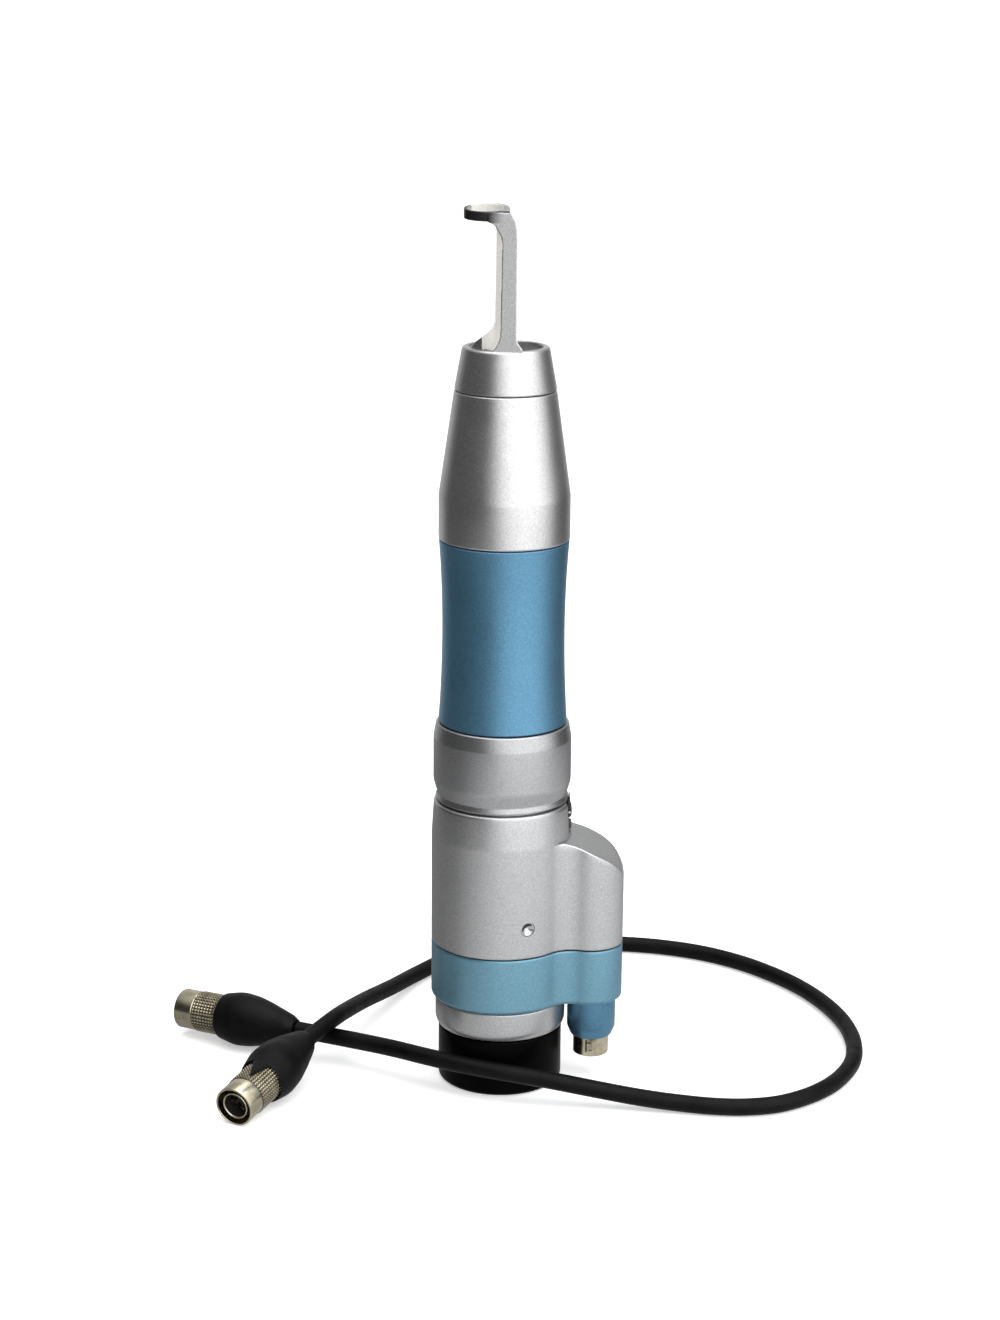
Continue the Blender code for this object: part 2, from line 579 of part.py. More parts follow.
def make_plug(letter):
    """One plug of the lead: shell, contacts, sliding lock sleeve and boot, built along its own Z axis."""
    frame = frame_along(PLUG_FACES[letter], PLUG_AIMS[letter])
    prefix = "plug_" + letter
    shell = [(3.8, 0.6), (3.3, 0.6), (3.3, 28.0), (4.7, 28.0), (4.7, 4.4), (3.8, 4.4)]
    turned(prefix + "_shell", shell, "nickel", SMALL_SIDES, frame=frame)
    contact_set(prefix, frame, 4.4, 20.0, 3.0)
    sleeve = [
        (5.6, 15.2), (5.8, 15.0), (5.8, 6.1), (5.55, 5.9), (5.55, 0.2), (5.35, 0.0), (5.0, 0.0), (5.0, 15.2),
    ]
    turned(prefix + "_lock_sleeve", sleeve, "nickel", SMALL_SIDES + 4, frame=frame)
    boot = [
        (0.0, PLUG_LENGTH), (3.0, PLUG_LENGTH), (3.9, 35.9), (6.1, 28.6), (7.2, 24.0), (7.6, 19.4),
        (7.0, 16.6), (6.5, 14.0), (6.1, 14.0), (6.1, 17.0), (5.0, 17.0), (5.0, 28.3), (0.0, 28.3),
    ]
    turned(prefix + "_boot", boot, "black_rubber", SMALL_SIDES + 4, frame=frame)


def cord_end(letter):
    frame = frame_along(PLUG_FACES[letter], PLUG_AIMS[letter])
    return frame @ Vector((0.0, 0.0, (PLUG_LENGTH + GAP) * MM)) / MM


def smooth_line(points, per_span):
    """A Catmull-Rom curve through the points."""
    ends = [points[0] * 2 - points[1]] + points + [points[-1] * 2 - points[-2]]
    line = []
    for before, start, end, after in zip(ends, ends[1:], ends[2:], ends[3:]):
        for step in range(per_span):
            t = step / per_span
            bend = (before * 2 - start * 5 + end * 4 - after) * t * t
            twist = (start * 3 - before - end * 3 + after) * t * t * t
            line.append((start * 2 + (end - before) * t + bend + twist) / 2)
    return line + [points[-1]]


def evenly_spaced(line, spacing):
    """Points at equal steps along a line, its two ends included."""
    total = sum((end - start).length for start, end in zip(line, line[1:]))
    count = round(total / spacing)
    places = [line[0]]
    travelled = 0.0
    for start, end in zip(line, line[1:]):
        length = (end - start).length
        while len(places) < count and travelled + length >= len(places) * total / count:
            share = (len(places) * total / count - travelled) / length
            places.append(start.lerp(end, share))
        travelled += length
    return places[:count] + [line[-1]]


def make_cord():
    route = [cord_end("a")] + [Vector(point) for point in CORD_ROUTE] + [cord_end("b")]
    places = evenly_spaced(smooth_line(route, 12), CORD_SPACING)
    curve = bpy.data.curves.new("control_cord", "CURVE")
    curve.dimensions = "3D"
    curve.bevel_depth = CORD_RADIUS * MM
    curve.bevel_resolution = 2
    curve.use_fill_caps = True
    curve.materials.append(finish("black_rubber"))
    spline = curve.splines.new("POLY")
    spline.points.add(len(places) - 1)
    for point, spot in zip(spline.points, places):
        point.co = (*(spot * MM), 1.0)
    PARTS.objects.link(bpy.data.objects.new("control_cord", curve))


clear_scene()
PARTS = new_collection("laser_handpiece")
CUTTERS = new_collection("cutters")
make_dust_cap()
make_arm_coupling()
make_bottom_cover()
make_rear_housing()
make_set_screw()
make_release_lever()
make_scanner()
make_drive()
make_socket()
make_front_section()
make_optics()
make_distance_tip()
make_plug("a")
make_plug("b")
make_cord()
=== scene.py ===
"""Looks of the laser handpiece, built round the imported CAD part.

Lengths are in millimetres unless a name ends in _m. +Z is the beam axis, the pod is on +X.
"""

import json
import math

import bmesh
import bpy
from mathutils import Matrix, Vector


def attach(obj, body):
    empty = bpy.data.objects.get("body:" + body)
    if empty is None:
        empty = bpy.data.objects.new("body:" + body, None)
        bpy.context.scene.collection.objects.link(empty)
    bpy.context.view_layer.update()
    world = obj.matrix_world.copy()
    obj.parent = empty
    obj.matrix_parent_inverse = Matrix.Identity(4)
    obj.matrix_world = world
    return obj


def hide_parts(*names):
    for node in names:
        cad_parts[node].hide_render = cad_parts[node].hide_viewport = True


MM = 0.001
GAP = 0.3
ROUND = 128
SHARP = 32.0

# Seams along the beam axis.
CAP_TOP = 15.8
COUPLING_TOP = 24.1
COVER_TOP = 40.05
HOUSING_TOP = 80.2
COLLAR_TOP = 102.0
GRIP_TOP = 151.9
CONE_TOP = 191.6
MOUTH_TOP = 203.2

# Rear housing and its pod.
HOUSING_RADIUS = 19.0
HOUSING_BORE = 17.3
SPIGOT_BORE = 14.8
HOUSING_EDGE = 0.45
POD_CORNER = (24.4, 2.3)
POD_CORNER_RADIUS = 9.0
POD_FILLET = 8.0
POD_WALL = 1.6
POCKET_TOP = 60.5
CROWN_START = 16.9
CROWN_END = 33.4
CROWN_TOP = 70.7

# Release lever, its slot and the set screw.
LEVER_PIVOT = (18.35, 0.0, 77.0)
LEVER_HALF_WIDTH = 2.4
SLOT_HALF_WIDTH = 5.2
SLOT_BOTTOM = 71.6
SCREW_AZIMUTH = math.radians(-67.4)
SCREW_SEAT_RADIUS = 17.6
SCREW_HEIGHT = 48.7
DIMPLE_RADIUS = 1.66

# Distance tip: a strip that rises from the mouth and carries a ring.
STRIP_FRONT = 10.60
STRIP_SLOPE = 0.105
STRIP_BACK_RADIUS = 9.5
STRIP_BASE = 201.0
RING_CENTRE = (-5.6, -5.3, 238.0)
RING_HOLE_CENTRE = (0.25, 0.45)
RING_HOLE_HALF = (4.85, 4.3)
RING_TILT = math.radians(7.5)

# Round socket under the pod; each key slot is (low x, high x, low z, high z).
SOCKET = (25.2, 0.0, 0.0)
SHELL_RADIUS = 4.9
SLOT_DEPTH_AT = 4.5
KEY_SLOTS = [(23.6, 24.05, 8.2, 11.7), (24.05, 25.1, 10.7, 11.1), (24.35, 25.45, 8.6, 10.1)]

# Control lead: where each plug's face is, and the point its axis runs to.
PLUG_LENGTH = 38.0
PLUG_FACES = {"a": (-90.6, 27.4, 7.2), "b": (-70.3, -38.0, 5.6)}
PLUG_AIMS = {"a": (-58.1, 10.0, 8.2), "b": (-52.6, -3.0, 11.2)}
KNURL_TEETH = 38
MOULD_LINES = {"a": 338.0, "b": 60.0}
CORD_RADIUS = 2.35
CORD_ROUTE = [
    (-47.5, 5.9, 7.95), (-38.8, 0.6, 8.5), (-29.5, -5.2, 9.0), (-20.5, -11.2, 9.3),
    (-10.5, -16.9, 9.4), (0.0, -20.4, 8.9), (11.0, -22.0, 7.7), (22.0, -22.9, 5.9),
    (32.0, -23.8, 4.3), (41.0, -24.9, 3.2), (50.0, -26.2, 2.6), (58.0, -27.4, 2.4),
    (66.5, -27.6, 2.4), (75.5, -25.4, 2.4), (84.0, -19.8, 2.4), (91.0, -12.2, 2.4),
    (95.9, -3.6, 2.4), (99.0, 5.0, 2.4), (100.4, 13.8, 2.4), (100.6, 22.5, 2.4),
    (99.7, 31.4, 2.4), (97.6, 40.6, 2.4), (94.3, 50.0, 2.4), (89.6, 59.6, 2.4),
    (83.0, 69.2, 2.4), (74.0, 79.0, 2.4), (63.0, 87.0, 2.4), (50.5, 92.2, 2.4),
    (37.0, 94.8, 2.4), (22.0, 95.2, 2.4), (7.0, 92.6, 2.4), (-6.5, 86.8, 2.4),
    (-17.5, 77.8, 2.5), (-25.6, 65.2, 3.1), (-32.2, 48.9, 5.4), (-38.9, 30.4, 8.9),
    (-43.7, 13.6, 12.2), (-46.9, 4.9, 13.05),
]

# Light from all round, and lobes of (direction, where it starts, where it is full, strength).
WORLD_BASE = 0.05
WORLD_LOBES = [
    ((0.58, -0.75, 0.30), 0.30, 0.95, 1.9),
    ((-0.15, 1.0, -0.05), 0.55, 1.0, 0.6),
    ((0.1, 0.0, 1.0), 0.3, 1.0, 0.8),
]
FLOOR_RADIUS_M = 60.0
BACKDROP_RADIUS_M = 40.0
BACKDROP_HEIGHT_M = 60.0

CAMERA_PLACE_M = (-0.000843, -0.72130, 0.31116)
CAMERA_LENS = 76.114
CAMERA_PITCH = 14.939
CAMERA_ROLL = 0.5112


# ---------------------------------------------------------------- materials

def set_range(node, low, high, to_low, to_high):
    for key, value in (("From Min", low), ("From Max", high), ("To Min", to_low), ("To Max", to_high)):
        node.inputs[key].default_value = value


class Recipe:
    """A Principled material with short helpers for its procedural nodes."""

    def __init__(self, name, colour, roughness, metallic):
        self.material = bpy.data.materials.new(name)
        self.material.use_nodes = True
        self.tree = self.material.node_tree
        self.shader = self.tree.nodes["Principled BSDF"]
        self.shader.inputs["Base Color"].default_value = (*colour, 1.0)
        self.shader.inputs["Roughness"].default_value = roughness
        self.shader.inputs["Metallic"].default_value = metallic
        self.place = self.tree.nodes.new("ShaderNodeTexCoord").outputs["Object"]

    def noise(self, scale, detail):
        node = self.tree.nodes.new("ShaderNodeTexNoise")
        node.inputs["Scale"].default_value = scale
        node.inputs["Detail"].default_value = detail
        self.tree.links.new(self.place, node.inputs["Vector"])
        return node.outputs["Fac"]

    def remap(self, source, low, high, to_low, to_high):
        node = self.tree.nodes.new("ShaderNodeMapRange")
        set_range(node, low, high, to_low, to_high)
        self.tree.links.new(source, node.inputs["Value"])
        return node.outputs["Result"]

    def vary_roughness(self, source, low, high):
        self.tree.links.new(self.remap(source, 0.3, 0.7, low, high), self.shader.inputs["Roughness"])

    def vary_colour(self, source, dark, light):
        ramp = self.tree.nodes.new("ShaderNodeValToRGB")
        ramp.color_ramp.elements[0].position = 0.34
        ramp.color_ramp.elements[0].color = (*dark, 1.0)
        ramp.color_ramp.elements[1].position = 0.66
        ramp.color_ramp.elements[1].color = (*light, 1.0)
        self.tree.links.new(source, ramp.inputs["Fac"])
        self.tree.links.new(ramp.outputs["Color"], self.shader.inputs["Base Color"])

    def bump(self, source, height_m, strength):
        node = self.tree.nodes.new("ShaderNodeBump")
        node.inputs["Strength"].default_value = strength
        node.inputs["Distance"].default_value = height_m
        self.tree.links.new(source, node.inputs["Height"])
        self.tree.links.new(node.outputs["Normal"], self.shader.inputs["Normal"])


def blasted(name, dark, light, rough_low, rough_high, metallic):
    """Bead-blasted metal: a fine grain in the height, the colour and the gloss."""
    recipe = Recipe(name, light, rough_low, metallic)
    recipe.vary_colour(recipe.noise(2600.0, 3.0), dark, light)
    recipe.vary_roughness(recipe.noise(90.0, 3.0), rough_low, rough_high)
    recipe.bump(recipe.noise(3400.0, 2.0), 0.00002, 0.5)
    return recipe.material


def painted_shade_metal(name, dark, light):
    """Metal with painted shade: its colour grows darker evenly toward the left."""
    recipe = Recipe(name, light, 0.33, 0.95)
    split = recipe.tree.nodes.new("ShaderNodeSeparateXYZ")
    recipe.tree.links.new(recipe.place, split.inputs["Vector"])
    recipe.vary_colour(recipe.remap(split.outputs["X"], -0.0044, -0.0012, 0.34, 0.66), dark, light)
    recipe.vary_roughness(recipe.noise(90.0, 3.0), 0.30, 0.36)
    recipe.bump(recipe.noise(3400.0, 2.0), 0.00002, 0.5)
    return recipe.material


def rubber(name):
    """Dull black rubber, faintly mottled."""
    recipe = Recipe(name, (0.003, 0.0028, 0.0028), 0.5, 0.0)
    recipe.shader.inputs["Specular IOR Level"].default_value = 0.12
    recipe.vary_colour(recipe.noise(140.0, 4.0), (0.0012, 0.0010, 0.0010), (0.0040, 0.0034, 0.0034))
    recipe.vary_roughness(recipe.noise(260.0, 3.0), 0.40, 0.55)
    recipe.bump(recipe.noise(2200.0, 3.0), 0.00003, 0.5)
    return recipe.material


def plated(name, dark, light, rough_low, rough_high):
    """Smooth metal with slight stains and scuffs."""
    recipe = Recipe(name, light, rough_low, 1.0)
    recipe.vary_colour(recipe.noise(400.0, 4.0), dark, light)
    recipe.vary_roughness(recipe.noise(700.0, 3.0), rough_low, rough_high)
    recipe.bump(recipe.noise(2500.0, 2.0), 0.00001, 0.4)
    return recipe.material


def moulded(name, dark, light, rough_low, rough_high, shine):
    """Moulded plastic or laminate."""
    recipe = Recipe(name, light, rough_low, 0.0)
    recipe.shader.inputs["Specular IOR Level"].default_value = shine
    recipe.vary_colour(recipe.noise(60.0, 4.0), dark, light)
    recipe.vary_roughness(recipe.noise(120.0, 4.0), rough_low, rough_high)
    recipe.bump(recipe.noise(1500.0, 2.0), 0.00001, 0.3)
    return recipe.material


def optic(name, colour):
    """Coated glass."""
    recipe = Recipe(name, colour, 0.03, 0.0)
    recipe.shader.inputs["Transmission Weight"].default_value = 0.85
    recipe.shader.inputs["IOR"].default_value = 1.6
    recipe.vary_roughness(recipe.noise(50.0, 2.0), 0.02, 0.05)
    return recipe.material


def make_looks():
    """Every look by name; the CAD's material slots use the same names."""
    looks = {
        "black_rubber": rubber("look_rubber"),
        # Painted shade on the tip ring's near wall, darker toward the left.
        "ring_painted_shade": painted_shade_metal("look_ring_painted_shade", (0.085, 0.078, 0.085), (0.56, 0.56, 0.57)),
        "amber_optic": optic("look_amber", (0.85, 0.42, 0.08)),
        "clear_optic": optic("look_clear", (0.90, 0.96, 0.98)),
    }
    for key, name, dark, light, gloss, metallic in (
        ("satin_aluminium", "silver", (0.50, 0.50, 0.51), (0.66, 0.66, 0.66), (0.30, 0.36), 0.95),
        # Painted shade: the next two are darker copies of the satin aluminium, for housing and coupling
        # ring, and for the collar.
        ("aluminium_painted_shade", "grey", (0.425, 0.43, 0.44), (0.56, 0.565, 0.57), (0.30, 0.36), 0.95),
        ("aluminium_painted_deep_shade", "collar", (0.355, 0.36, 0.37), (0.465, 0.47, 0.48), (0.30, 0.36), 0.95),
        ("blue_anodised", "blue", (0.088, 0.215, 0.335), (0.125, 0.285, 0.415), (0.34, 0.40), 0.85),
        ("pale_blue", "pale_blue", (0.142, 0.298, 0.395), (0.195, 0.372, 0.475), (0.36, 0.42), 0.85),
        # Painted light: a pale, half-metallic look that makes the tip's left flank and the ring hole's far
        # wall bright.
        ("painted_light_metal", "painted_light_metal", (0.70, 0.68, 0.64), (0.84, 0.82, 0.78), (0.45, 0.55), 0.35),
    ):
        looks[key] = blasted("look_" + name, dark, light, *gloss, metallic)
    for key, name, dark, light, gloss in (
        # dark_steel also serves as painted shade on the tip ring's near rim top.
        ("dark_steel", "dark_steel", (0.045, 0.042, 0.040), (0.080, 0.075, 0.072), (0.30, 0.42)),
        ("nickel", "nickel", (0.50, 0.45, 0.325), (0.69, 0.63, 0.475), (0.16, 0.28)),
        ("steel", "steel", (0.50, 0.50, 0.51), (0.62, 0.62, 0.63), (0.14, 0.24)),
        ("brass", "brass", (0.62, 0.44, 0.16), (0.80, 0.62, 0.28), (0.18, 0.30)),
        ("dull_brass", "dull_brass", (0.13, 0.085, 0.03), (0.20, 0.14, 0.06), (0.30, 0.45)),
        ("bronze_bush", "bronze", (0.34, 0.21, 0.10), (0.48, 0.32, 0.16), (0.35, 0.50)),
        # Painted shade: a dark copy of the nickel for the knurl's grooves.
        ("groove", "groove", (0.10, 0.085, 0.06), (0.19, 0.165, 0.12), (0.35, 0.5)),
    ):
        looks[key] = plated("look_" + name, dark, light, *gloss)
    for key, name, dark, light, gloss, shine in (
        (
            "black_plastic", "black_plastic", (0.0008, 0.0007, 0.0008), (0.0016, 0.0014, 0.0014),
            (0.24, 0.34), 0.03,
        ),
        ("board_green", "board", (0.015, 0.15, 0.06), (0.03, 0.24, 0.10), (0.35, 0.50), 0.5),
        ("insulator", "insulator", (0.010, 0.010, 0.010), (0.022, 0.021, 0.020), (0.35, 0.50), 0.5),
    ):
        looks[key] = moulded("look_" + name, dark, light, *gloss, shine)
    return looks


# ---------------------------------------------------------------- shapes

def softened(corners, steps=4):
    """(radius, height) points from corners given as (radius, height) or (radius, height, rounding)."""
    points = []
    for index, corner in enumerate(corners):
        here = Vector(corner[:2])
        size = corner[2] if len(corner) > 2 else 0.0
        if size <= 0.0 or index in (0, len(corners) - 1):
            points.append(tuple(here))
            continue
        back = Vector(corners[index - 1][:2]) - here
        ahead = Vector(corners[index + 1][:2]) - here
        start = here + back.normalized() * min(size, back.length * 0.49)
        end = here + ahead.normalized() * min(size, ahead.length * 0.49)
        for step in range(steps + 1):
            t = step / steps
            points.append(tuple(start * (1 - t) ** 2 + here * 2 * t * (1 - t) + end * t * t))
    return points


def new_piece(name, vertices, faces, look, body, replaces=(), frame=None, sharp=SHARP):
    """A mesh piece; with a body it rides on it at once and stands in for the CAD nodes it replaces."""
    mesh = bpy.data.meshes.new(name)
    mesh.from_pydata([tuple(Vector(v) * MM) for v in vertices], [], faces)
    bm = bmesh.new()
    bm.from_mesh(mesh)
    bmesh.ops.remove_doubles(bm, verts=bm.verts, dist=0.000001)
    bmesh.ops.recalc_face_normals(bm, faces=bm.faces)
    bm.to_mesh(mesh)
    bm.free()
    if frame is not None:
        mesh.transform(frame)
    mesh.materials.append(LOOKS[look])
    obj = bpy.data.objects.new(name, mesh)
    bpy.context.scene.collection.objects.link(obj)
    smooth(obj, sharp)
    if body:
        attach(obj, body)
        if replaces:
            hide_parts(*replaces)
    return obj


def smooth(obj, degrees):
    for face in obj.data.polygons:
        face.use_smooth = True
    obj.data.set_sharp_from_angle(angle=math.radians(degrees))


def lathe(name, corners, look, body, replaces=(), at=(0.0, 0.0, 0.0), frame=None, sides=ROUND, steps=4,
          sharp=SHARP):
    """A ring or solid turned about Z; corners run round the section."""
    profile = softened(corners, steps)
    closed = profile[0][0] > 0.0001
    vertices, faces = [], []
    for side in range(sides):
        angle = math.tau * side / sides
        c, s = math.cos(angle), math.sin(angle)
        vertices += [(r * c + at[0], r * s + at[1], z + at[2]) for r, z in profile]
    rows = len(profile)
    span = rows if closed else rows - 1
    for side in range(sides):
        here, there = side * rows, (side + 1) % sides * rows
        for row in range(span):
            after = (row + 1) % rows
            faces.append((here + row, there + row, there + after, here + after))
    return new_piece(name, vertices, faces, look, body, replaces, frame=frame, sharp=sharp)


def cut(obj, *cutters):
    """Take the cutters out of obj for good and delete them."""
    for cutter in cutters:
        modifier = obj.modifiers.new("cut", "BOOLEAN")
        modifier.operation = "DIFFERENCE"
        modifier.solver = "EXACT"
        modifier.object = cutter
    bpy.context.view_layer.update()
    made = bpy.data.meshes.new_from_object(obj.evaluated_get(bpy.context.evaluated_depsgraph_get()))
    obj.modifiers.clear()
    obj.data = made
    for cutter in cutters:
        bpy.data.objects.remove(cutter, do_unlink=True)
    smooth(obj, SHARP)


def cutting_rod(radius, low, high, at=(0.0, 0.0, 0.0), frame=None, sides=96):
    return lathe("cutter", [(0.0, high), (radius, high), (radius, low), (0.0, low)], "steel", None,
                 at=at, frame=frame, sides=sides)


def slab(outline, low, high, name="cutter", look="steel", frame=None):
    """An outline in x and y raised from low to high."""
    count = len(outline)
    vertices = [(x, y, low) for x, y in outline] + [(x, y, high) for x, y in outline]
    faces = [tuple(range(count)), tuple(range(count, 2 * count))]
    faces += [(k, (k + 1) % count, count + (k + 1) % count, count + k) for k in range(count)]
    return new_piece(name, vertices, faces, look, None, frame=frame)


def arc(centre, radius, start, end, steps):
    turns = [start + (end - start) * step / steps for step in range(steps + 1)]
    return [(centre[0] + radius * math.cos(a), centre[1] + radius * math.sin(a)) for a in turns]


def meeting_point(distance_origin, centre, distance_centre):
    """The point at these distances from the origin and from centre."""
    span = math.hypot(*centre)
    along = (distance_origin**2 - distance_centre**2 + span**2) / (2 * span)
    aside = math.sqrt(distance_origin**2 - along**2)
    unit = (centre[0] / span, centre[1] / span)
    return (along * unit[0] - aside * unit[1], along * unit[1] + aside * unit[0])


def pod_half():
    """The pod's outline above the X axis, from its flat side round to the housing wall."""
    fillet = meeting_point(HOUSING_RADIUS + POD_FILLET, POD_CORNER, POD_CORNER_RADIUS + POD_FILLET)
    toward_fillet = math.atan2(fillet[1] - POD_CORNER[1], fillet[0] - POD_CORNER[0])
    toward_axis = math.atan2(-fillet[1], -fillet[0])
    corner = arc(POD_CORNER, POD_CORNER_RADIUS, 0.0, toward_fillet, 21)
    blend = arc(fillet, POD_FILLET, toward_fillet - math.pi, toward_axis, 18)
    flat = [(corner[0][0], 0.8), (corner[0][0], 1.6)]
    return flat + corner + blend[1:]


def mirrored(points):
    return [(x, -y) for x, y in reversed(points)]


def pocket_outline():
    radius = POD_CORNER_RADIUS - POD_WALL
    upper = arc(POD_CORNER, radius, 0.0, math.pi / 2, 8)
    back = (15.2, POD_CORNER[1] + radius - 0.8)
    return upper + [back, (back[0], -back[1])] + mirrored(upper)


def crown_height(x):
    """The pod's roof: a steady fall that turns down steeply at its outer end."""
    share = max(0.0, x - CROWN_START) / (CROWN_END - CROWN_START)
    return CROWN_TOP - 7.2 * share**1.2 - 3.2 * share**9


def inward(loop, index):
    """The unit step from a point of an anticlockwise loop to its inside."""
    before, after = Vector(loop[index - 1]), Vector(loop[(index + 1) % len(loop)])
    along = (after - before).normalized()
    return Vector((-along.y, along.x))


def cover_loop():
    """The outline of cover and housing, anticlockwise, and how many of its points are the pod's."""
    half = pod_half()
    start = math.atan2(half[-1][1], half[-1][0])
    back = arc((0.0, 0.0), HOUSING_RADIUS, start, math.tau - start, 96)
    return half + back[1:-1] + mirrored(half), len(half)


def pod_column(x, y, step, low, angle):
    """One line up the pod's wall, over its rounded edge and along its roof to the housing wall."""
    wall = Vector((HOUSING_RADIUS * math.cos(angle), HOUSING_RADIUS * math.sin(angle)))
    reach = (Vector((x, y)) - wall).length
    rounding = min(HOUSING_EDGE, reach * 0.5) + 0.0001
    crest = crown_height(x)
    column = [(x, y, low + (crest - low) * t) for t in (0.35, 0.7, 0.93)]
    for turn in (0.0, 22.5, 45.0, 67.5, 90.0):
        a = math.radians(turn)
        shift = step * (rounding * (1 - math.cos(a)))
        column.append((x + shift.x, y + shift.y, crest - rounding + rounding * math.sin(a)))
    start = Vector((x, y)) + step * rounding
    for t in (0.12, 0.25, 0.4, 0.55, 0.7, 0.85, 1.0):
        spot = start.lerp(wall, t)
        column.append((spot.x, spot.y, crown_height(spot.x)))
    return column


def plain_column(x, y, low):
    """One line up the round wall, with as many points as a pod column."""
    column = [(x, y, low + (CROWN_TOP - low) * t) for t in (0.35, 0.7, 0.93)]
    return column + [(x, y, CROWN_TOP - 0.6 + 0.05 * k) for k in range(12)]


def housing_columns(loop, pod_count):
    low = COVER_TOP + GAP
    foot_edge = [(0.30, 0.0), (0.10, 0.06), (0.0, 0.26), (0.0, 0.44)]
    top = [
        (19.0, 71.0), (18.96, 71.6), (18.82, 74.0), (18.66, 76.6), (18.5, 79.2), (18.46, 79.6),
        (18.3, 79.95), (18.05, 80.15), (17.8, HOUSING_TOP),
    ]
    count = len(loop)
    pod_end = math.atan2(loop[pod_count - 1][1], loop[pod_count - 1][0])
    columns = []
    for index, (x, y) in enumerate(loop):
        step = inward(loop, index)
        column = [(x + step.x * d, y + step.y * d, low + h) for d, h in foot_edge]
        rank = min(index, count - 1 - index)
        if rank < pod_count:
            share = 1.0 - rank / (pod_count - 1)
            angle = math.copysign(pod_end * (1.0 - share), y)
            column += pod_column(x, y, step, low, angle)
        else:
            angle = math.atan2(y, x)
            column += plain_column(x, y, low)
        column += [(r * math.cos(angle), r * math.sin(angle), z) for r, z in top]
        columns.append(column)
    return columns


def make_housing():
    """Round body and pod in one skin: every column of the grid runs up one line of the outline."""
    columns = housing_columns(*cover_loop())
    count, rows = len(columns), len(columns[0])
    vertices = [spot for column in columns for spot in column]
    faces = []
    for index in range(count):
        here, there = index * rows, (index + 1) % count * rows
        faces += [(here + r, there + r, there + r + 1, here + r + 1) for r in range(rows - 1)]
    faces.append(tuple(index * rows for index in range(count)))
    faces.append(tuple(index * rows + rows - 1 for index in range(count)))
    housing = new_piece("housing_skin", vertices, faces, "aluminium_painted_shade", None)
    half = SLOT_HALF_WIDTH
    cut(
        housing,
        cutting_rod(HOUSING_BORE, 44.5, 90.0),
        cutting_rod(SPIGOT_BORE, 30.0, 50.0),
        slab(pocket_outline(), 30.0, POCKET_TOP),
        slab([(15.0, -half), (24.0, -half), (24.0, half), (15.0, half)], SLOT_BOTTOM, 90.0),
        cutting_rod(2.0, -3.0, 6.0, frame=screw_frame(), sides=48),
    )
    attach(housing, "rear")
    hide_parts("rear_housing")


def grid_faces(rows, count, closed=False):
    """Quads between rows of count points each, and an end face at both ends of an open grid."""
    faces = []
    for r in range(rows if closed else rows - 1):
        here, there = r * count, (r + 1) % rows * count
        for k in range(count):
            after = (k + 1) % count
            faces.append((here + k, here + after, there + after, there + k))
    if not closed:
        faces += [tuple(range(count)), tuple((rows - 1) * count + k for k in range(count))]
    return faces


def make_cover():
    """The pale blue tray that closes housing and pod from below."""
    loop, _ = cover_loop()
    low = COUPLING_TOP + GAP
    floor = low + 1.6
    rows = [
        (0.95, low), (0.55, low + 0.12), (0.18, low + 0.45), (0.0, low + 0.95), (0.0, low + 1.15),
        (0.0, 30.0), (0.0, 36.0), (0.0, COVER_TOP - 0.62), (0.0, COVER_TOP - 0.42),
        (0.14, COVER_TOP - 0.12), (0.40, COVER_TOP),
    ]
    vertices = []
    for inset, z in rows:
        for index, (x, y) in enumerate(loop):
            step = inward(loop, index) * inset
            vertices.append((x + step.x, y + step.y, z))
    cover = new_piece("cover_skin", vertices, grid_faces(len(rows), len(loop)), "pale_blue", None)
    cut(
        cover,
        cutting_rod(HOUSING_BORE, floor, 50.0),
        slab(pocket_outline(), floor, 50.0),
        cutting_rod(SPIGOT_BORE, 20.0, 30.0),
        cutting_rod(5.2, 20.0, 30.0, at=SOCKET),
    )
    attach(cover, "rear")
    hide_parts("bottom_cover")


def make_rear_rings():
    """The dust cap at the foot and the arm coupling above it."""
    cap = [
        (14.7, 1.8), (14.7, CAP_TOP, 0.2), (16.6, CAP_TOP, 0.3), (16.95, CAP_TOP - 0.35, 0.3),
        (16.95, 0.9, 0.7), (16.1, 0.0, 0.6), (15.0, 0.0, 0.2), (14.6, 0.5, 0.3), (0.0, 0.5),
    ]
    lathe("cap_skin", [(0.0, 1.8)] + cap, "black_plastic", "cap", ["dust_cap"])
    coupling = [
        (14.5, 44.2, 0.2), (14.5, COUPLING_TOP), (17.6, COUPLING_TOP, 0.15),
        (17.85, COUPLING_TOP - 0.3, 0.2), (17.85, 17.7, 0.6), (17.3, 16.3, 0.3), (16.7, CAP_TOP + GAP, 0.1),
        (14.4, CAP_TOP + GAP), (14.4, 13.4), (14.4, 3.5, 0.3), (13.9, 3.0, 0.2), (8.5, 3.0, 0.3),
        (8.0, 3.5, 0.2), (8.0, 44.2, 0.2),
    ]
    lathe("coupling_skin", coupling, "aluminium_painted_shade", "rear", ["arm_coupling"])


def screw_frame():
    outward = Vector((math.cos(SCREW_AZIMUTH), math.sin(SCREW_AZIMUTH), 0.0))
    seat = outward * SCREW_SEAT_RADIUS + Vector((0.0, 0.0, SCREW_HEIGHT))
    return frame_along(seat, seat + outward)


def frame_along(start, aim):
    """A frame at start whose Z axis runs to aim, with Y as near to upright as it can be."""
    z_axis = (Vector(aim) - Vector(start)).normalized()
    x_axis = Vector((0.0, 0.0, 1.0)).cross(z_axis).normalized()
    y_axis = z_axis.cross(x_axis)
    rotation = Matrix((x_axis, y_axis, z_axis)).transposed()
    return Matrix.Translation(Vector(start) * MM) @ rotation.to_4x4()


def in_dimple_shade(spot):
    """Where shade is painted: true on the upper left part of the screw's hollow."""
    return math.hypot(spot.x, spot.y) < DIMPLE_RADIUS and spot.z < 1.1 and spot.y - 0.6 * spot.x > 0.12


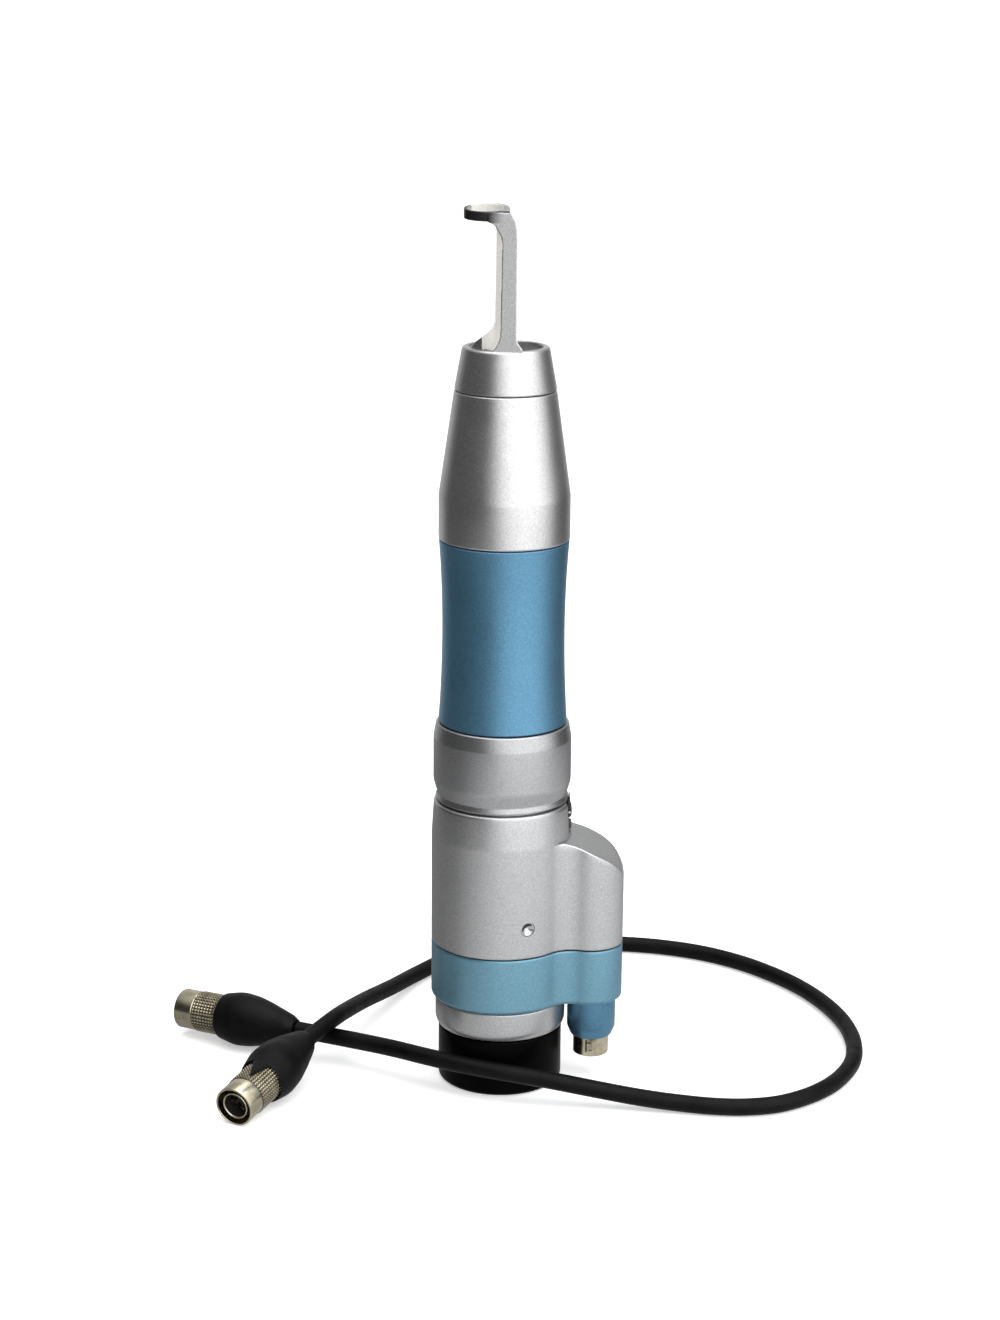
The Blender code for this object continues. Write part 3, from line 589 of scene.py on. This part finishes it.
def make_set_screw():
    corners = [
        (0.0, -0.1), (1.85, -0.1), (1.93, 0.2, 0.1), (1.93, 1.12, 0.1), (1.72, 1.15, 0.08),
        (1.62, 1.05, 0.08), (0.5, 0.14, 0.3), (0.0, 0.05),
    ]
    screw = lathe("screw_skin", corners, "steel", "rear", ["set_screw"], frame=screw_frame(), sides=64)
    # Painted shade on the upper left of the screw's hollow, in the insulator's dark look.
    paint_shade(screw, in_dimple_shade, "insulator", screw_frame())


def make_lever():
    """A slim dark lever that lies close along the housing wall."""
    outline = [
        (17.9, 72.4), (18.8, 72.4), (18.95, 73.5), (17.85, 73.9), (17.85, 75.3), (18.5, 75.5),
        (18.95, 76.3), (18.98, 77.7), (18.65, 78.6), (18.6, 79.6), (18.45, 79.8), (18.42, 81.25),
        (18.14, 81.3), (18.1, 79.9), (17.55, 78.6), (17.55, 75.0), (17.6, 73.6),
    ]
    upright = Matrix(((1, 0, 0), (0, 0, -1), (0, 1, 0))).to_4x4()
    lever = slab(outline, -LEVER_HALF_WIDTH, LEVER_HALF_WIDTH, "lever_skin", "dark_steel", frame=upright)
    across = frame_along(LEVER_PIVOT, Vector(LEVER_PIVOT) + Vector((0.0, 1.0, 0.0)))
    cut(lever, cutting_rod(0.5, -4.0, 4.0, frame=across, sides=32))
    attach(lever, "lever")
    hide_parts("release_lever")


def make_front():
    """The front section: swivel collar, grip and nose cone."""
    foot = HOUSING_TOP + 2 * GAP
    collar = [
        (14.9, COLLAR_TOP), (17.55, COLLAR_TOP, 0.1), (17.9, COLLAR_TOP - 0.25, 0.15), (18.6, 98.0, 0.35),
        (18.6, 86.0, 0.8), (17.6, 82.5, 0.3), (17.75, 82.0, 0.1), (18.05, 81.1, 0.15), (17.85, foot, 0.1),
        (16.9, foot), (16.9, 70.6), (15.5, 70.6), (15.5, 68.9), (16.9, 68.9), (16.9, 68.0), (14.9, 68.0),
    ]
    lathe("collar_skin", collar, "aluminium_painted_deep_shade", "front", ["swivel_collar"], sharp=25)
    heights = [GRIP_TOP - (GRIP_TOP - COLLAR_TOP - GAP) * step / 40 for step in range(41)]
    outer = [(grip_radius(h), h) for h in heights]
    outer[0] = (outer[0][0] - 0.25, GRIP_TOP)
    outer[-1] = (outer[-1][0] - 0.2, COLLAR_TOP + GAP)
    outer.insert(1, (grip_radius(GRIP_TOP), GRIP_TOP - 0.25))
    outer.insert(-1, (grip_radius(COLLAR_TOP + 0.55), COLLAR_TOP + 0.55))
    grip = outer + [(15.0, COLLAR_TOP + GAP), (15.0, GRIP_TOP)]
    lathe("grip_skin", grip, "blue_anodised", "front", ["grip_sleeve"])
    low = GRIP_TOP + GAP
    cone = [
        (11.5, CONE_TOP), (13.25, CONE_TOP, 0.08), (13.52, CONE_TOP - 0.25, 0.2), (17.43, 164.0, 0.5),
        (17.43, low + 0.3, 0.25), (17.15, low, 0.1), (15.0, low), (15.0, 168.3), (11.5, 176.0),
    ]
    lathe("cone_skin", cone, "satin_aluminium", "front", ["nose_cone"], sharp=20)


def grip_radius(height):
    """The grip narrows to a waist and widens again to both ends."""
    waist = 128.0
    end = COLLAR_TOP if height < waist else GRIP_TOP
    return 16.35 + 0.95 * ((height - waist) / (end - waist)) ** 2


def rise(z, start, span):
    """How far z is above start, as a share of span, or 0 below it."""
    return max(0.0, z - start) / span


def fall(z, start, span):
    """How far z is below start, as a share of span, or 0 above it."""
    return max(0.0, start - z) / span


def root_fillet(z):
    """How far the strip's left side reaches out where it turns into the ring."""
    return -2.1 * min(1.0, rise(z, 234.0, 2.05)) ** 3.2


def strip_left(z):
    """The line between the strip's front and its cut left flank."""
    side = -1.1 - 0.25 * fall(z, 231.0, 18.0) - 1.65 * min(1.0, rise(z, 231.0, 3.6)) ** 1.5
    foot = 1.9 * fall(z, 209.0, 5.6) ** 3
    return max(side - foot, -3.6) + root_fillet(z)


def strip_right(z):
    """The strip's right side, rounded off at the top and flared at the foot."""
    return min(4.3, 2.75 + 2.0 * fall(z, 207.2, 3.8) ** 2.2 - 1.6 * rise(z, 231.0, 7.4) ** 3)


def flank_end(z):
    """Where the left flank ends at the back; at the foot it sweeps out along the mouth's rim."""
    spread = 6.1 * (1.0 - math.exp(-0.81 * fall(z, 212.0, 5.7) ** 3))
    return -2.75 - 0.4 * fall(z, 234.0, 25.0) - spread + root_fillet(z)


def strip_section(z):
    """The tip's strip cut at one height: a flat front, a cut left flank and a hollow back."""
    left, right = strip_left(z), strip_right(z)
    back_left, back_right = flank_end(z), right - 0.35
    reach = 11.9 if z > MOUTH_TOP + 0.1 else 11.3
    outline = []
    for step in range(13):
        x = left + (right - left) * step / 12
        flat = -STRIP_FRONT - STRIP_SLOPE * (x + 1.45)
        outline.append((x, max(flat, -math.sqrt(reach**2 - x * x))))
    for step in range(13):
        x = back_right + (back_left - back_right) * step / 12
        outline.append((x, -math.sqrt(STRIP_BACK_RADIUS**2 - x * x)))
    front, back = Vector(outline[0]), Vector(outline[-1])
    least = STRIP_BACK_RADIUS + 0.45 * min(1.0, fall(z, 210.0, 1.5))
    for step in range(1, 10):
        spot = back.lerp(front, step / 10)
        outline.append(tuple(spot * max(1.0, least / spot.length)))
    return outline


def quarter(centre, half, power, start, steps=24):
    """A quarter of a closed outline between an ellipse and a rectangle, anticlockwise."""
    points = []
    for step in range(steps):
        angle = math.radians(start + 90.0 * step / steps)
        along = math.copysign(abs(math.cos(angle)) ** (2 / power), math.cos(angle))
        aside = math.copysign(abs(math.sin(angle)) ** (2 / power), math.sin(angle))
        points.append((centre[0] + half[0] * along, centre[1] + half[1] * aside))
    return points


def ring_outline():
    """The ring seen from above: a broad near side, a rounder far side."""
    return (
        quarter((2.2, 0.0), (4.1, 5.5), 2.2, 0.0)
        + quarter((2.2, 0.0), (7.7, 5.5), 2.2, 90.0)
        + quarter((6.6, 0.0), (12.1, 5.2), 2.6, 180.0)
        + quarter((6.0, 0.0), (0.3, 5.2), 2.6, 270.0)
    )


def ring_hole():
    return [spot for k in range(4) for spot in quarter(RING_HOLE_CENTRE, RING_HOLE_HALF, 2.4, 90.0 * k)]


def loft(name, sections, look, body=None, closed=False, frame=None, sharp=SHARP):
    """A skin over sections of equal point counts, each a list of (x, y, z)."""
    vertices = [spot for section in sections for spot in section]
    faces = grid_faces(len(sections), len(sections[0]), closed)
    return new_piece(name, vertices, faces, look, body, frame=frame, sharp=sharp)


def melt_together(obj, other, voxel_mm, rounds):
    """Join two pieces into one body and soften the line where they meet."""
    context = {"active_object": obj, "selected_editable_objects": [obj, other]}
    with bpy.context.temp_override(**context):
        bpy.ops.object.join()
    remesh = obj.modifiers.new("remesh", "REMESH")
    remesh.mode = "VOXEL"
    remesh.voxel_size = voxel_mm * MM
    relax = obj.modifiers.new("relax", "SMOOTH")
    relax.factor = 0.5
    relax.iterations = rounds
    bpy.context.view_layer.update()
    obj.data = bpy.data.meshes.new_from_object(obj.evaluated_get(bpy.context.evaluated_depsgraph_get()))
    obj.modifiers.clear()
    for face in obj.data.polygons:
        face.use_smooth = True


def make_tip():
    """The distance tip: a tapered mouth, and strip and ring as one piece with its own looks by place, which
    paint light and shade.
    """
    low = CONE_TOP + GAP
    mouth = [
        (9.65, MOUTH_TOP - 0.45, 0.2), (9.85, MOUTH_TOP, 0.25), (10.95, MOUTH_TOP, 0.35),
        (11.5, MOUTH_TOP - 0.5, 0.4), (13.45, low + 0.2, 0.15), (13.2, low), (11.2, low), (11.2, 182.2),
        (9.65, 182.2),
    ]
    lathe("tip_skin", mouth, "satin_aluminium", "tip", ["distance_tip"], steps=5)
    heights = [STRIP_BASE + 0.2 * k for k in range(60)]
    heights += [213.5 + 1.5 * k for k in range(12)]
    heights += [231.2 + 0.2 * k for k in range(37)]
    sections = [[(x, y, z) for x, y in strip_section(z)] for z in heights]
    strip = loft("tip_strip", sections, "satin_aluminium")
    tilt = Matrix.Translation(Vector(RING_CENTRE) * MM) @ Matrix.Rotation(RING_TILT, 4, "X")
    outer, hole = ring_outline(), ring_hole()
    levels = [(outer, -1.25), (outer, 1.25), (hole, 1.25), (hole, -1.25)]
    sections = [[(x, y, z) for x, y in loop] for loop, z in levels]
    ring = loft("tip_ring", sections, "satin_aluminium", closed=True, frame=tilt)
    melt_together(strip, ring, 0.15, 3)
    # Painted light and painted shade: a pale look for flank and hole wall, a shaded look for the ring's
    # near wall, and dark steel as painted shade on the near rim's top.
    for look in ("painted_light_metal", "ring_painted_shade", "dark_steel"):
        strip.data.materials.append(LOOKS[look])
    for face in strip.data.polygons:
        face.material_index = tip_look(face.center / MM, face.normal)
    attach(strip, "tip")


def tip_look(spot, normal):
    """Which look a face of strip or ring has: 0 blasted, 1 painted light on the flank and the hole's far
    wall, 2 painted shade on the ring's near wall, 3 painted shade on the near rim's top.
    """
    if spot.z < 235.9:
        # Painted light on the cut left flank.
        on_flank = -6.2 < spot.x < strip_left(spot.z) - 0.05 and spot.z > MOUTH_TOP + 0.2
        return 1 if on_flank and normal.x < -0.15 and normal.y < 0.3 else 0
    # Painted shade on the near rim's top.
    if spot.y < -8.9 and normal.z > 0.55:
        return 3
    # Painted shade on the ring's near wall.
    if spot.y < -4.0 and normal.y < -0.1 and spot.x < -1.0:
        return 2
    # Painted light on the hole's far wall.
    in_hole = spot.y > -4.0 and normal.y < -0.3 and spot.x > -9.2
    return 1 if in_hole else 0


def make_socket():
    """The round socket under the pod, with shallow key slots in its shell and painted shade in them."""
    boss = [
        (6.55, COUPLING_TOP), (6.65, COUPLING_TOP - 0.3, 0.1), (6.65, 14.8, 0.4), (5.75, 12.5, 0.25),
        (5.5, 12.3, 0.05), (5.2, 12.3), (5.2, COUPLING_TOP),
    ]
    lathe("boss_skin", boss, "blue_anodised", "rear", ["connector_boss"], at=SOCKET, sides=80)
    shell = [
        (4.1, 27.0), (SHELL_RADIUS, 27.0), (SHELL_RADIUS, 7.05, 0.2), (4.65, 6.8, 0.15), (4.35, 6.8, 0.1),
        (4.1, 7.0, 0.15),
    ]
    sleeve = lathe("shell_skin", shell, "nickel", None, at=SOCKET, sides=80)
    for low_x, high_x, low_z, high_z in KEY_SLOTS:
        outline = [(low_x, -6.0), (high_x, -6.0), (high_x, -SLOT_DEPTH_AT), (low_x, -SLOT_DEPTH_AT)]
        cut(sleeve, slab(outline, low_z, high_z))
    # Painted shade on the key slots' walls and floors, in the insulator's dark look.
    paint_shade(sleeve, in_key_slot_shade, "insulator")
    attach(sleeve, "rear")
    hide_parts("connector_shell")


def in_key_slot_shade(spot):
    """Where shade is painted: true on the walls of the key slots and on the floor of all but the last,
    which stays bright.
    """
    below_surface = math.hypot(spot.x - SOCKET[0], spot.y) <= SHELL_RADIUS - 0.03
    if not (below_surface and spot.y <= -4.2 and 8.0 <= spot.z <= 12.0):
        return False
    low_x, high_x, low_z, high_z = KEY_SLOTS[-1]
    return not (low_x + 0.1 < spot.x < high_x - 0.1 and low_z + 0.1 < spot.z < high_z - 0.1)


def in_plug_mouth_shade(spot):
    """Where shade is painted: true inside the inner tube of a plug and in the gap round it."""
    return math.hypot(spot.x, spot.y) < 3.34 or 1.0 < spot.z < 5.0


def make_plug(letter):
    """One end of the lead, built along Z from its face at 0 and then turned into place."""
    frame = frame_along(PLUG_FACES[letter], PLUG_AIMS[letter])
    prefix = "plug_" + letter + "_"
    shell = [
        (3.3, 28.0), (4.7, 28.0), (4.7, 4.4), (3.8, 4.4), (3.8, 0.8, 0.15), (3.65, 0.6, 0.1),
        (3.45, 0.6, 0.1), (3.3, 0.8, 0.15),
    ]
    inner = lathe(prefix + "shell_skin", shell, "nickel", "rear", [prefix + "shell"], sides=72)
    # Painted shade inside the plug's mouth, in the insulator's dark look.
    paint_shade(inner, in_plug_mouth_shade, "insulator")
    inner.data.transform(frame)
    made = [inner, knurled_sleeve(letter, prefix, frame)]
    boot = [
        (0.0, PLUG_LENGTH), (2.6, PLUG_LENGTH, 0.2), (2.95, PLUG_LENGTH - 0.4, 0.3), (3.9, 35.9, 1.2),
        (6.1, 28.6, 1.8), (7.2, 24.0, 1.5), (7.6, 19.4, 1.5), (7.0, 16.4, 1.2), (6.5, 14.2, 0.25),
        (6.3, 14.0, 0.1), (6.1, 14.1, 0.1), (6.1, 17.0), (5.0, 17.0), (5.0, 28.3), (0.0, 28.3),
    ]
    boot_skin = lathe(prefix + "boot_skin", boot, "black_rubber", "rear", [prefix + "boot"], sides=72)
    raise_mould_line(boot_skin, MOULD_LINES[letter])
    boot_skin.data.transform(frame)
    made.append(boot_skin)
    if letter == "b":
        made.append(boot_tongue(frame))
    return made


def raise_mould_line(boot, azimuth):
    """Lift a thin line along the boot at one azimuth, in degrees."""
    for vertex in boot.data.vertices:
        spot = vertex.co / MM
        turn = math.degrees(math.atan2(spot.y, spot.x)) - azimuth
        on_line = abs((turn + 180.0) % 360.0 - 180.0) < 2.6
        if on_line and 18.0 < spot.z < 34.0 and math.hypot(spot.x, spot.y) > 3.2:
            vertex.co.x *= 1.025
            vertex.co.y *= 1.025


def boot_tongue(frame):
    """A pointed flap of the boot that lies over the knurl as far as the plain band."""
    sections = []
    for step in range(25):
        s = 16.6 - 9.5 * step / 24
        share = max(0.03, min(1.0, (s - 7.0) / 7.6))
        middle = math.radians(102.0 - 5.0 * share)
        half = math.radians(25.0) * share
        lift = 6.12 + 0.42 * max(0.0, min(1.0, (s - 14.0) / 2.0))
        outer = [(lift + 0.42 - 0.25 * (k / 8) ** 4, middle + half * k / 8) for k in range(-8, 9)]
        inner = [(lift - 0.2, turn) for _, turn in reversed(outer)]
        sections.append([(r * math.cos(turn), r * math.sin(turn), s) for r, turn in outer + inner])
    return loft("plug_b_boot_tongue", sections, "black_rubber", "rear", frame=frame, sharp=50)


def knurled_sleeve(letter, prefix, frame):
    """A lock sleeve: a plain band at the mouth and square-cut knurling behind it, with painted shade in its
    grooves.
    """
    depths = (0.34, 0.20, 0.0, 0.0, 0.0, 0.20)
    knurl = [(5.8, 14.9 - 0.16 * k) for k in range(55)]
    back = [(5.0, 15.2), (5.5, 15.2), (5.8, 15.0)]
    band = [
        (5.6, 6.05), (5.42, 5.95), (5.42, 5.75), (5.55, 5.6), (5.55, 0.3), (5.47, 0.07), (5.35, 0.0),
        (5.08, 0.0), (5.0, 0.1),
    ]
    rows = back + knurl + band
    first, last = len(back), len(back) + len(knurl)
    sides = 6 * KNURL_TEETH
    vertices = []
    for side in range(sides):
        angle = math.tau * side / sides
        for row, (radius, z) in enumerate(rows):
            depth = max(depths[side % 6], depths[row % 6]) if first <= row < last else 0.0
            r = radius - depth
            vertices.append((r * math.cos(angle), r * math.sin(angle), z))
    body = "lock_sleeve_" + letter
    faces = grid_faces(sides, len(rows), closed=True)
    sleeve = new_piece(prefix + "sleeve_skin", vertices, faces, "nickel", body, [prefix + "lock_sleeve"])
    # Painted shade in the knurl's grooves, in the dark groove look.
    paint_shade(sleeve, in_knurl_groove_shade, "groove")
    sleeve.data.transform(frame)
    return sleeve


def in_knurl_groove_shade(spot):
    return 5.8 < spot.z < 15.0 and 5.2 < math.hypot(spot.x, spot.y) < 5.66


def paint_shade(obj, chosen, look, frame=None):
    """Paint shade: give the faces whose centres are chosen a second, darker look."""
    obj.data.materials.append(LOOKS[look])
    inverse = Matrix.Identity(4) if frame is None else frame.inverted()
    for face in obj.data.polygons:
        if chosen(inverse @ face.center / MM):
            face.material_index = 1


def cord_end(letter):
    """Where the cord leaves the boot of a plug."""
    frame = frame_along(PLUG_FACES[letter], PLUG_AIMS[letter])
    return frame @ Vector((0.0, 0.0, (PLUG_LENGTH + GAP) * MM)) / MM


def smooth_line(points, per_span):
    """A smooth line through the points, with per_span steps from each to the next."""
    ends = [points[0] * 2 - points[1]] + points + [points[-1] * 2 - points[-2]]
    line = []
    for before, start, end, after in zip(ends, ends[1:], ends[2:], ends[3:]):
        for step in range(per_span):
            t = step / per_span
            bend = (before * 2 - start * 5 + end * 4 - after) * t * t
            twist = (start * 3 - before - end * 3 + after) * t * t * t
            line.append((start * 2 + (end - before) * t + bend + twist) / 2)
    return line + [points[-1]]


def make_cord():
    """The round cord between the two boots."""
    route = [cord_end("a")] + [Vector(point) for point in CORD_ROUTE] + [cord_end("b")]
    line = smooth_line(route, 5)
    curve = bpy.data.curves.new("cord_line", "CURVE")
    curve.dimensions = "3D"
    curve.bevel_depth = CORD_RADIUS * MM
    curve.bevel_resolution = 6
    curve.use_fill_caps = True
    curve.materials.append(LOOKS["black_rubber"])
    spline = curve.splines.new("POLY")
    spline.points.add(len(line) - 1)
    for point, spot in zip(spline.points, line):
        point.co = (*(spot * MM), 1.0)
    spline.use_smooth = True
    cord = bpy.data.objects.new("cord_skin", curve)
    bpy.context.scene.collection.objects.link(cord)
    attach(cord, "rear")
    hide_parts("control_cord")


# ---------------------------------------------------------------- stage

def area_light(name, place, aim, size_m, power):
    light = bpy.data.lights.new(name, "AREA")
    light.shape = "SQUARE"
    light.size = size_m
    light.energy = power
    obj = bpy.data.objects.new(name, light)
    obj.location = place
    obj.rotation_euler = (Vector(aim) - Vector(place)).to_track_quat("-Z", "Y").to_euler()
    bpy.context.scene.collection.objects.link(obj)


def lit_from(tree, direction, low, high, strength):
    """A soft lobe of light in the world around one direction."""
    place = tree.nodes.new("ShaderNodeTexCoord")
    dot = tree.nodes.new("ShaderNodeVectorMath")
    dot.operation = "DOT_PRODUCT"
    dot.inputs[1].default_value = Vector(direction).normalized()
    tree.links.new(place.outputs["Generated"], dot.inputs[0])
    lobe = tree.nodes.new("ShaderNodeMapRange")
    lobe.interpolation_type = "SMOOTHSTEP"
    set_range(lobe, low, high, 0.0, strength)
    tree.links.new(dot.outputs["Value"], lobe.inputs["Value"])
    return lobe.outputs["Result"]


def make_world():
    """A dim even light with soft lobes added to it."""
    world = bpy.data.worlds.new("studio")
    bpy.context.scene.world = world
    world.use_nodes = True
    tree = world.node_tree
    background = tree.nodes["Background"]
    background.inputs["Color"].default_value = (1.0, 1.0, 1.0, 1.0)
    total = None
    for lobe in WORLD_LOBES:
        part = lit_from(tree, *lobe)
        add = tree.nodes.new("ShaderNodeMath")
        add.operation = "ADD"
        tree.links.new(part, add.inputs[0])
        if total is None:
            add.inputs[1].default_value = WORLD_BASE
        else:
            tree.links.new(total, add.inputs[1])
        total = add.outputs["Value"]
    tree.links.new(total, background.inputs["Strength"])


def flat_disc(name, radius_m, height_m, grey, glow):
    """A level disc of one grey that also glows; part of the stage."""
    recipe = Recipe(name, (grey, grey, grey), 0.9, 0.0)
    recipe.shader.inputs["Specular IOR Level"].default_value = 0.0
    recipe.shader.inputs["Emission Color"].default_value = (1.0, 1.0, 1.0, 1.0)
    recipe.shader.inputs["Emission Strength"].default_value = glow
    mesh = bpy.data.meshes.new(name)
    turns = [math.tau * k / 96 for k in range(96)]
    spots = [(radius_m * math.cos(turn), radius_m * math.sin(turn), height_m) for turn in turns]
    mesh.from_pydata(spots, [], [tuple(range(96))])
    mesh.materials.append(recipe.material)
    disc = bpy.data.objects.new(name, mesh)
    bpy.context.scene.collection.objects.link(disc)
    return disc


def shade_across(material, direction, low_m, high_m, dim, bright):
    """The glow of a flat disc rises across it along one direction."""
    tree = material.node_tree
    place = tree.nodes.new("ShaderNodeTexCoord")
    dot = tree.nodes.new("ShaderNodeVectorMath")
    dot.operation = "DOT_PRODUCT"
    dot.inputs[1].default_value = Vector((*direction, 0.0)).normalized()
    tree.links.new(place.outputs["Object"], dot.inputs[0])
    ramp = tree.nodes.new("ShaderNodeMapRange")
    ramp.interpolation_type = "SMOOTHSTEP"
    set_range(ramp, low_m, high_m, dim, bright)
    tree.links.new(dot.outputs["Value"], ramp.inputs["Value"])
    tree.links.new(ramp.outputs["Result"], tree.nodes["Principled BSDF"].inputs["Emission Strength"])


def make_backdrop():
    """A pale wall far away, so that a low view has no dark horizon."""
    wall = flat_disc("backdrop", BACKDROP_RADIUS_M, 0.0, 0.0, 1.0)
    bm = bmesh.new()
    bm.from_mesh(wall.data)
    rim = [edge for edge in bm.edges if edge.is_boundary]
    upper = bmesh.ops.extrude_edge_only(bm, edges=rim)["geom"]
    for vertex in [item for item in upper if isinstance(item, bmesh.types.BMVert)]:
        vertex.co.z += BACKDROP_HEIGHT_M
    level = [face for face in bm.faces if abs(face.normal.z) > 0.9]
    bmesh.ops.delete(bm, geom=level, context="FACES_ONLY")
    bm.to_mesh(wall.data)
    bm.free()
    wall.visible_diffuse = False
    wall.visible_glossy = False
    wall.visible_transmission = False
    wall.visible_shadow = False


def make_stage():
    """Pale floor and wall, one soft light overhead, and the bright table that only metal mirrors."""
    make_world()
    floor = flat_disc("floor", FLOOR_RADIUS_M, 0.0, 0.85, 0.42)
    floor.visible_glossy = False
    make_backdrop()
    table = flat_disc("table_reflection", 0.36, -0.002, 0.0, 1.0)
    table.visible_camera = False
    table.visible_diffuse = False
    shade_across(table.data.materials[0], (0.6, -0.75), -0.13, 0.15, 0.24, 0.97)
    area_light("overhead", (0.1, -0.1, 1.4), (0.0, 0.0, 0.1), 1.6, 14.0)


def make_camera():
    """The camera at the photo's viewing angle."""
    data = bpy.data.cameras.new("camera")
    data.sensor_width = 36.0
    data.lens = CAMERA_LENS
    camera = bpy.data.objects.new("camera", data)
    camera.location = CAMERA_PLACE_M
    tilt = Matrix.Rotation(math.radians(90.0 - CAMERA_PITCH), 4, "X")
    roll = Matrix.Rotation(math.radians(CAMERA_ROLL), 4, "Z")
    camera.rotation_euler = (tilt @ roll).to_euler()
    data.clip_start = 0.01
    data.clip_end = 50.0
    bpy.context.scene.collection.objects.link(camera)
    bpy.context.scene.camera = camera


# ---------------------------------------------------------------- the object

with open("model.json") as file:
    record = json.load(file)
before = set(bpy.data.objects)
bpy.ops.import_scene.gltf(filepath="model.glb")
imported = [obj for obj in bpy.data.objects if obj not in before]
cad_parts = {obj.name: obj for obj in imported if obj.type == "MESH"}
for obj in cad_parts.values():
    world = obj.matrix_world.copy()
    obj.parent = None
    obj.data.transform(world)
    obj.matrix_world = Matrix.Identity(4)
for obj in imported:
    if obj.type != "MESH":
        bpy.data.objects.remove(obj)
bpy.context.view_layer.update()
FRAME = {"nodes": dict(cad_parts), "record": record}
LOOKS = make_looks()
CAD_LOOKS = {"plug_a_contacts": "dull_brass", "plug_b_contacts": "dull_brass"}
SLOTS = {item["node"]: item["material_slot"] for item in FRAME["record"]["subparts"]}
for node, part in FRAME["nodes"].items():
    part.data.materials.clear()
    part.data.materials.append(LOOKS[CAD_LOOKS.get(node, SLOTS[node])])

make_housing()
make_cover()
make_rear_rings()
make_set_screw()
make_lever()
make_front()
make_tip()
make_socket()
LEAD = make_plug("a") + make_plug("b")
LEAD += [FRAME["nodes"][f"plug_{letter}_{kind}"] for letter in "ab" for kind in ("insert", "contacts")]
make_cord()
make_camera()
make_stage()

bpy.context.scene.view_settings.view_transform = "Standard"
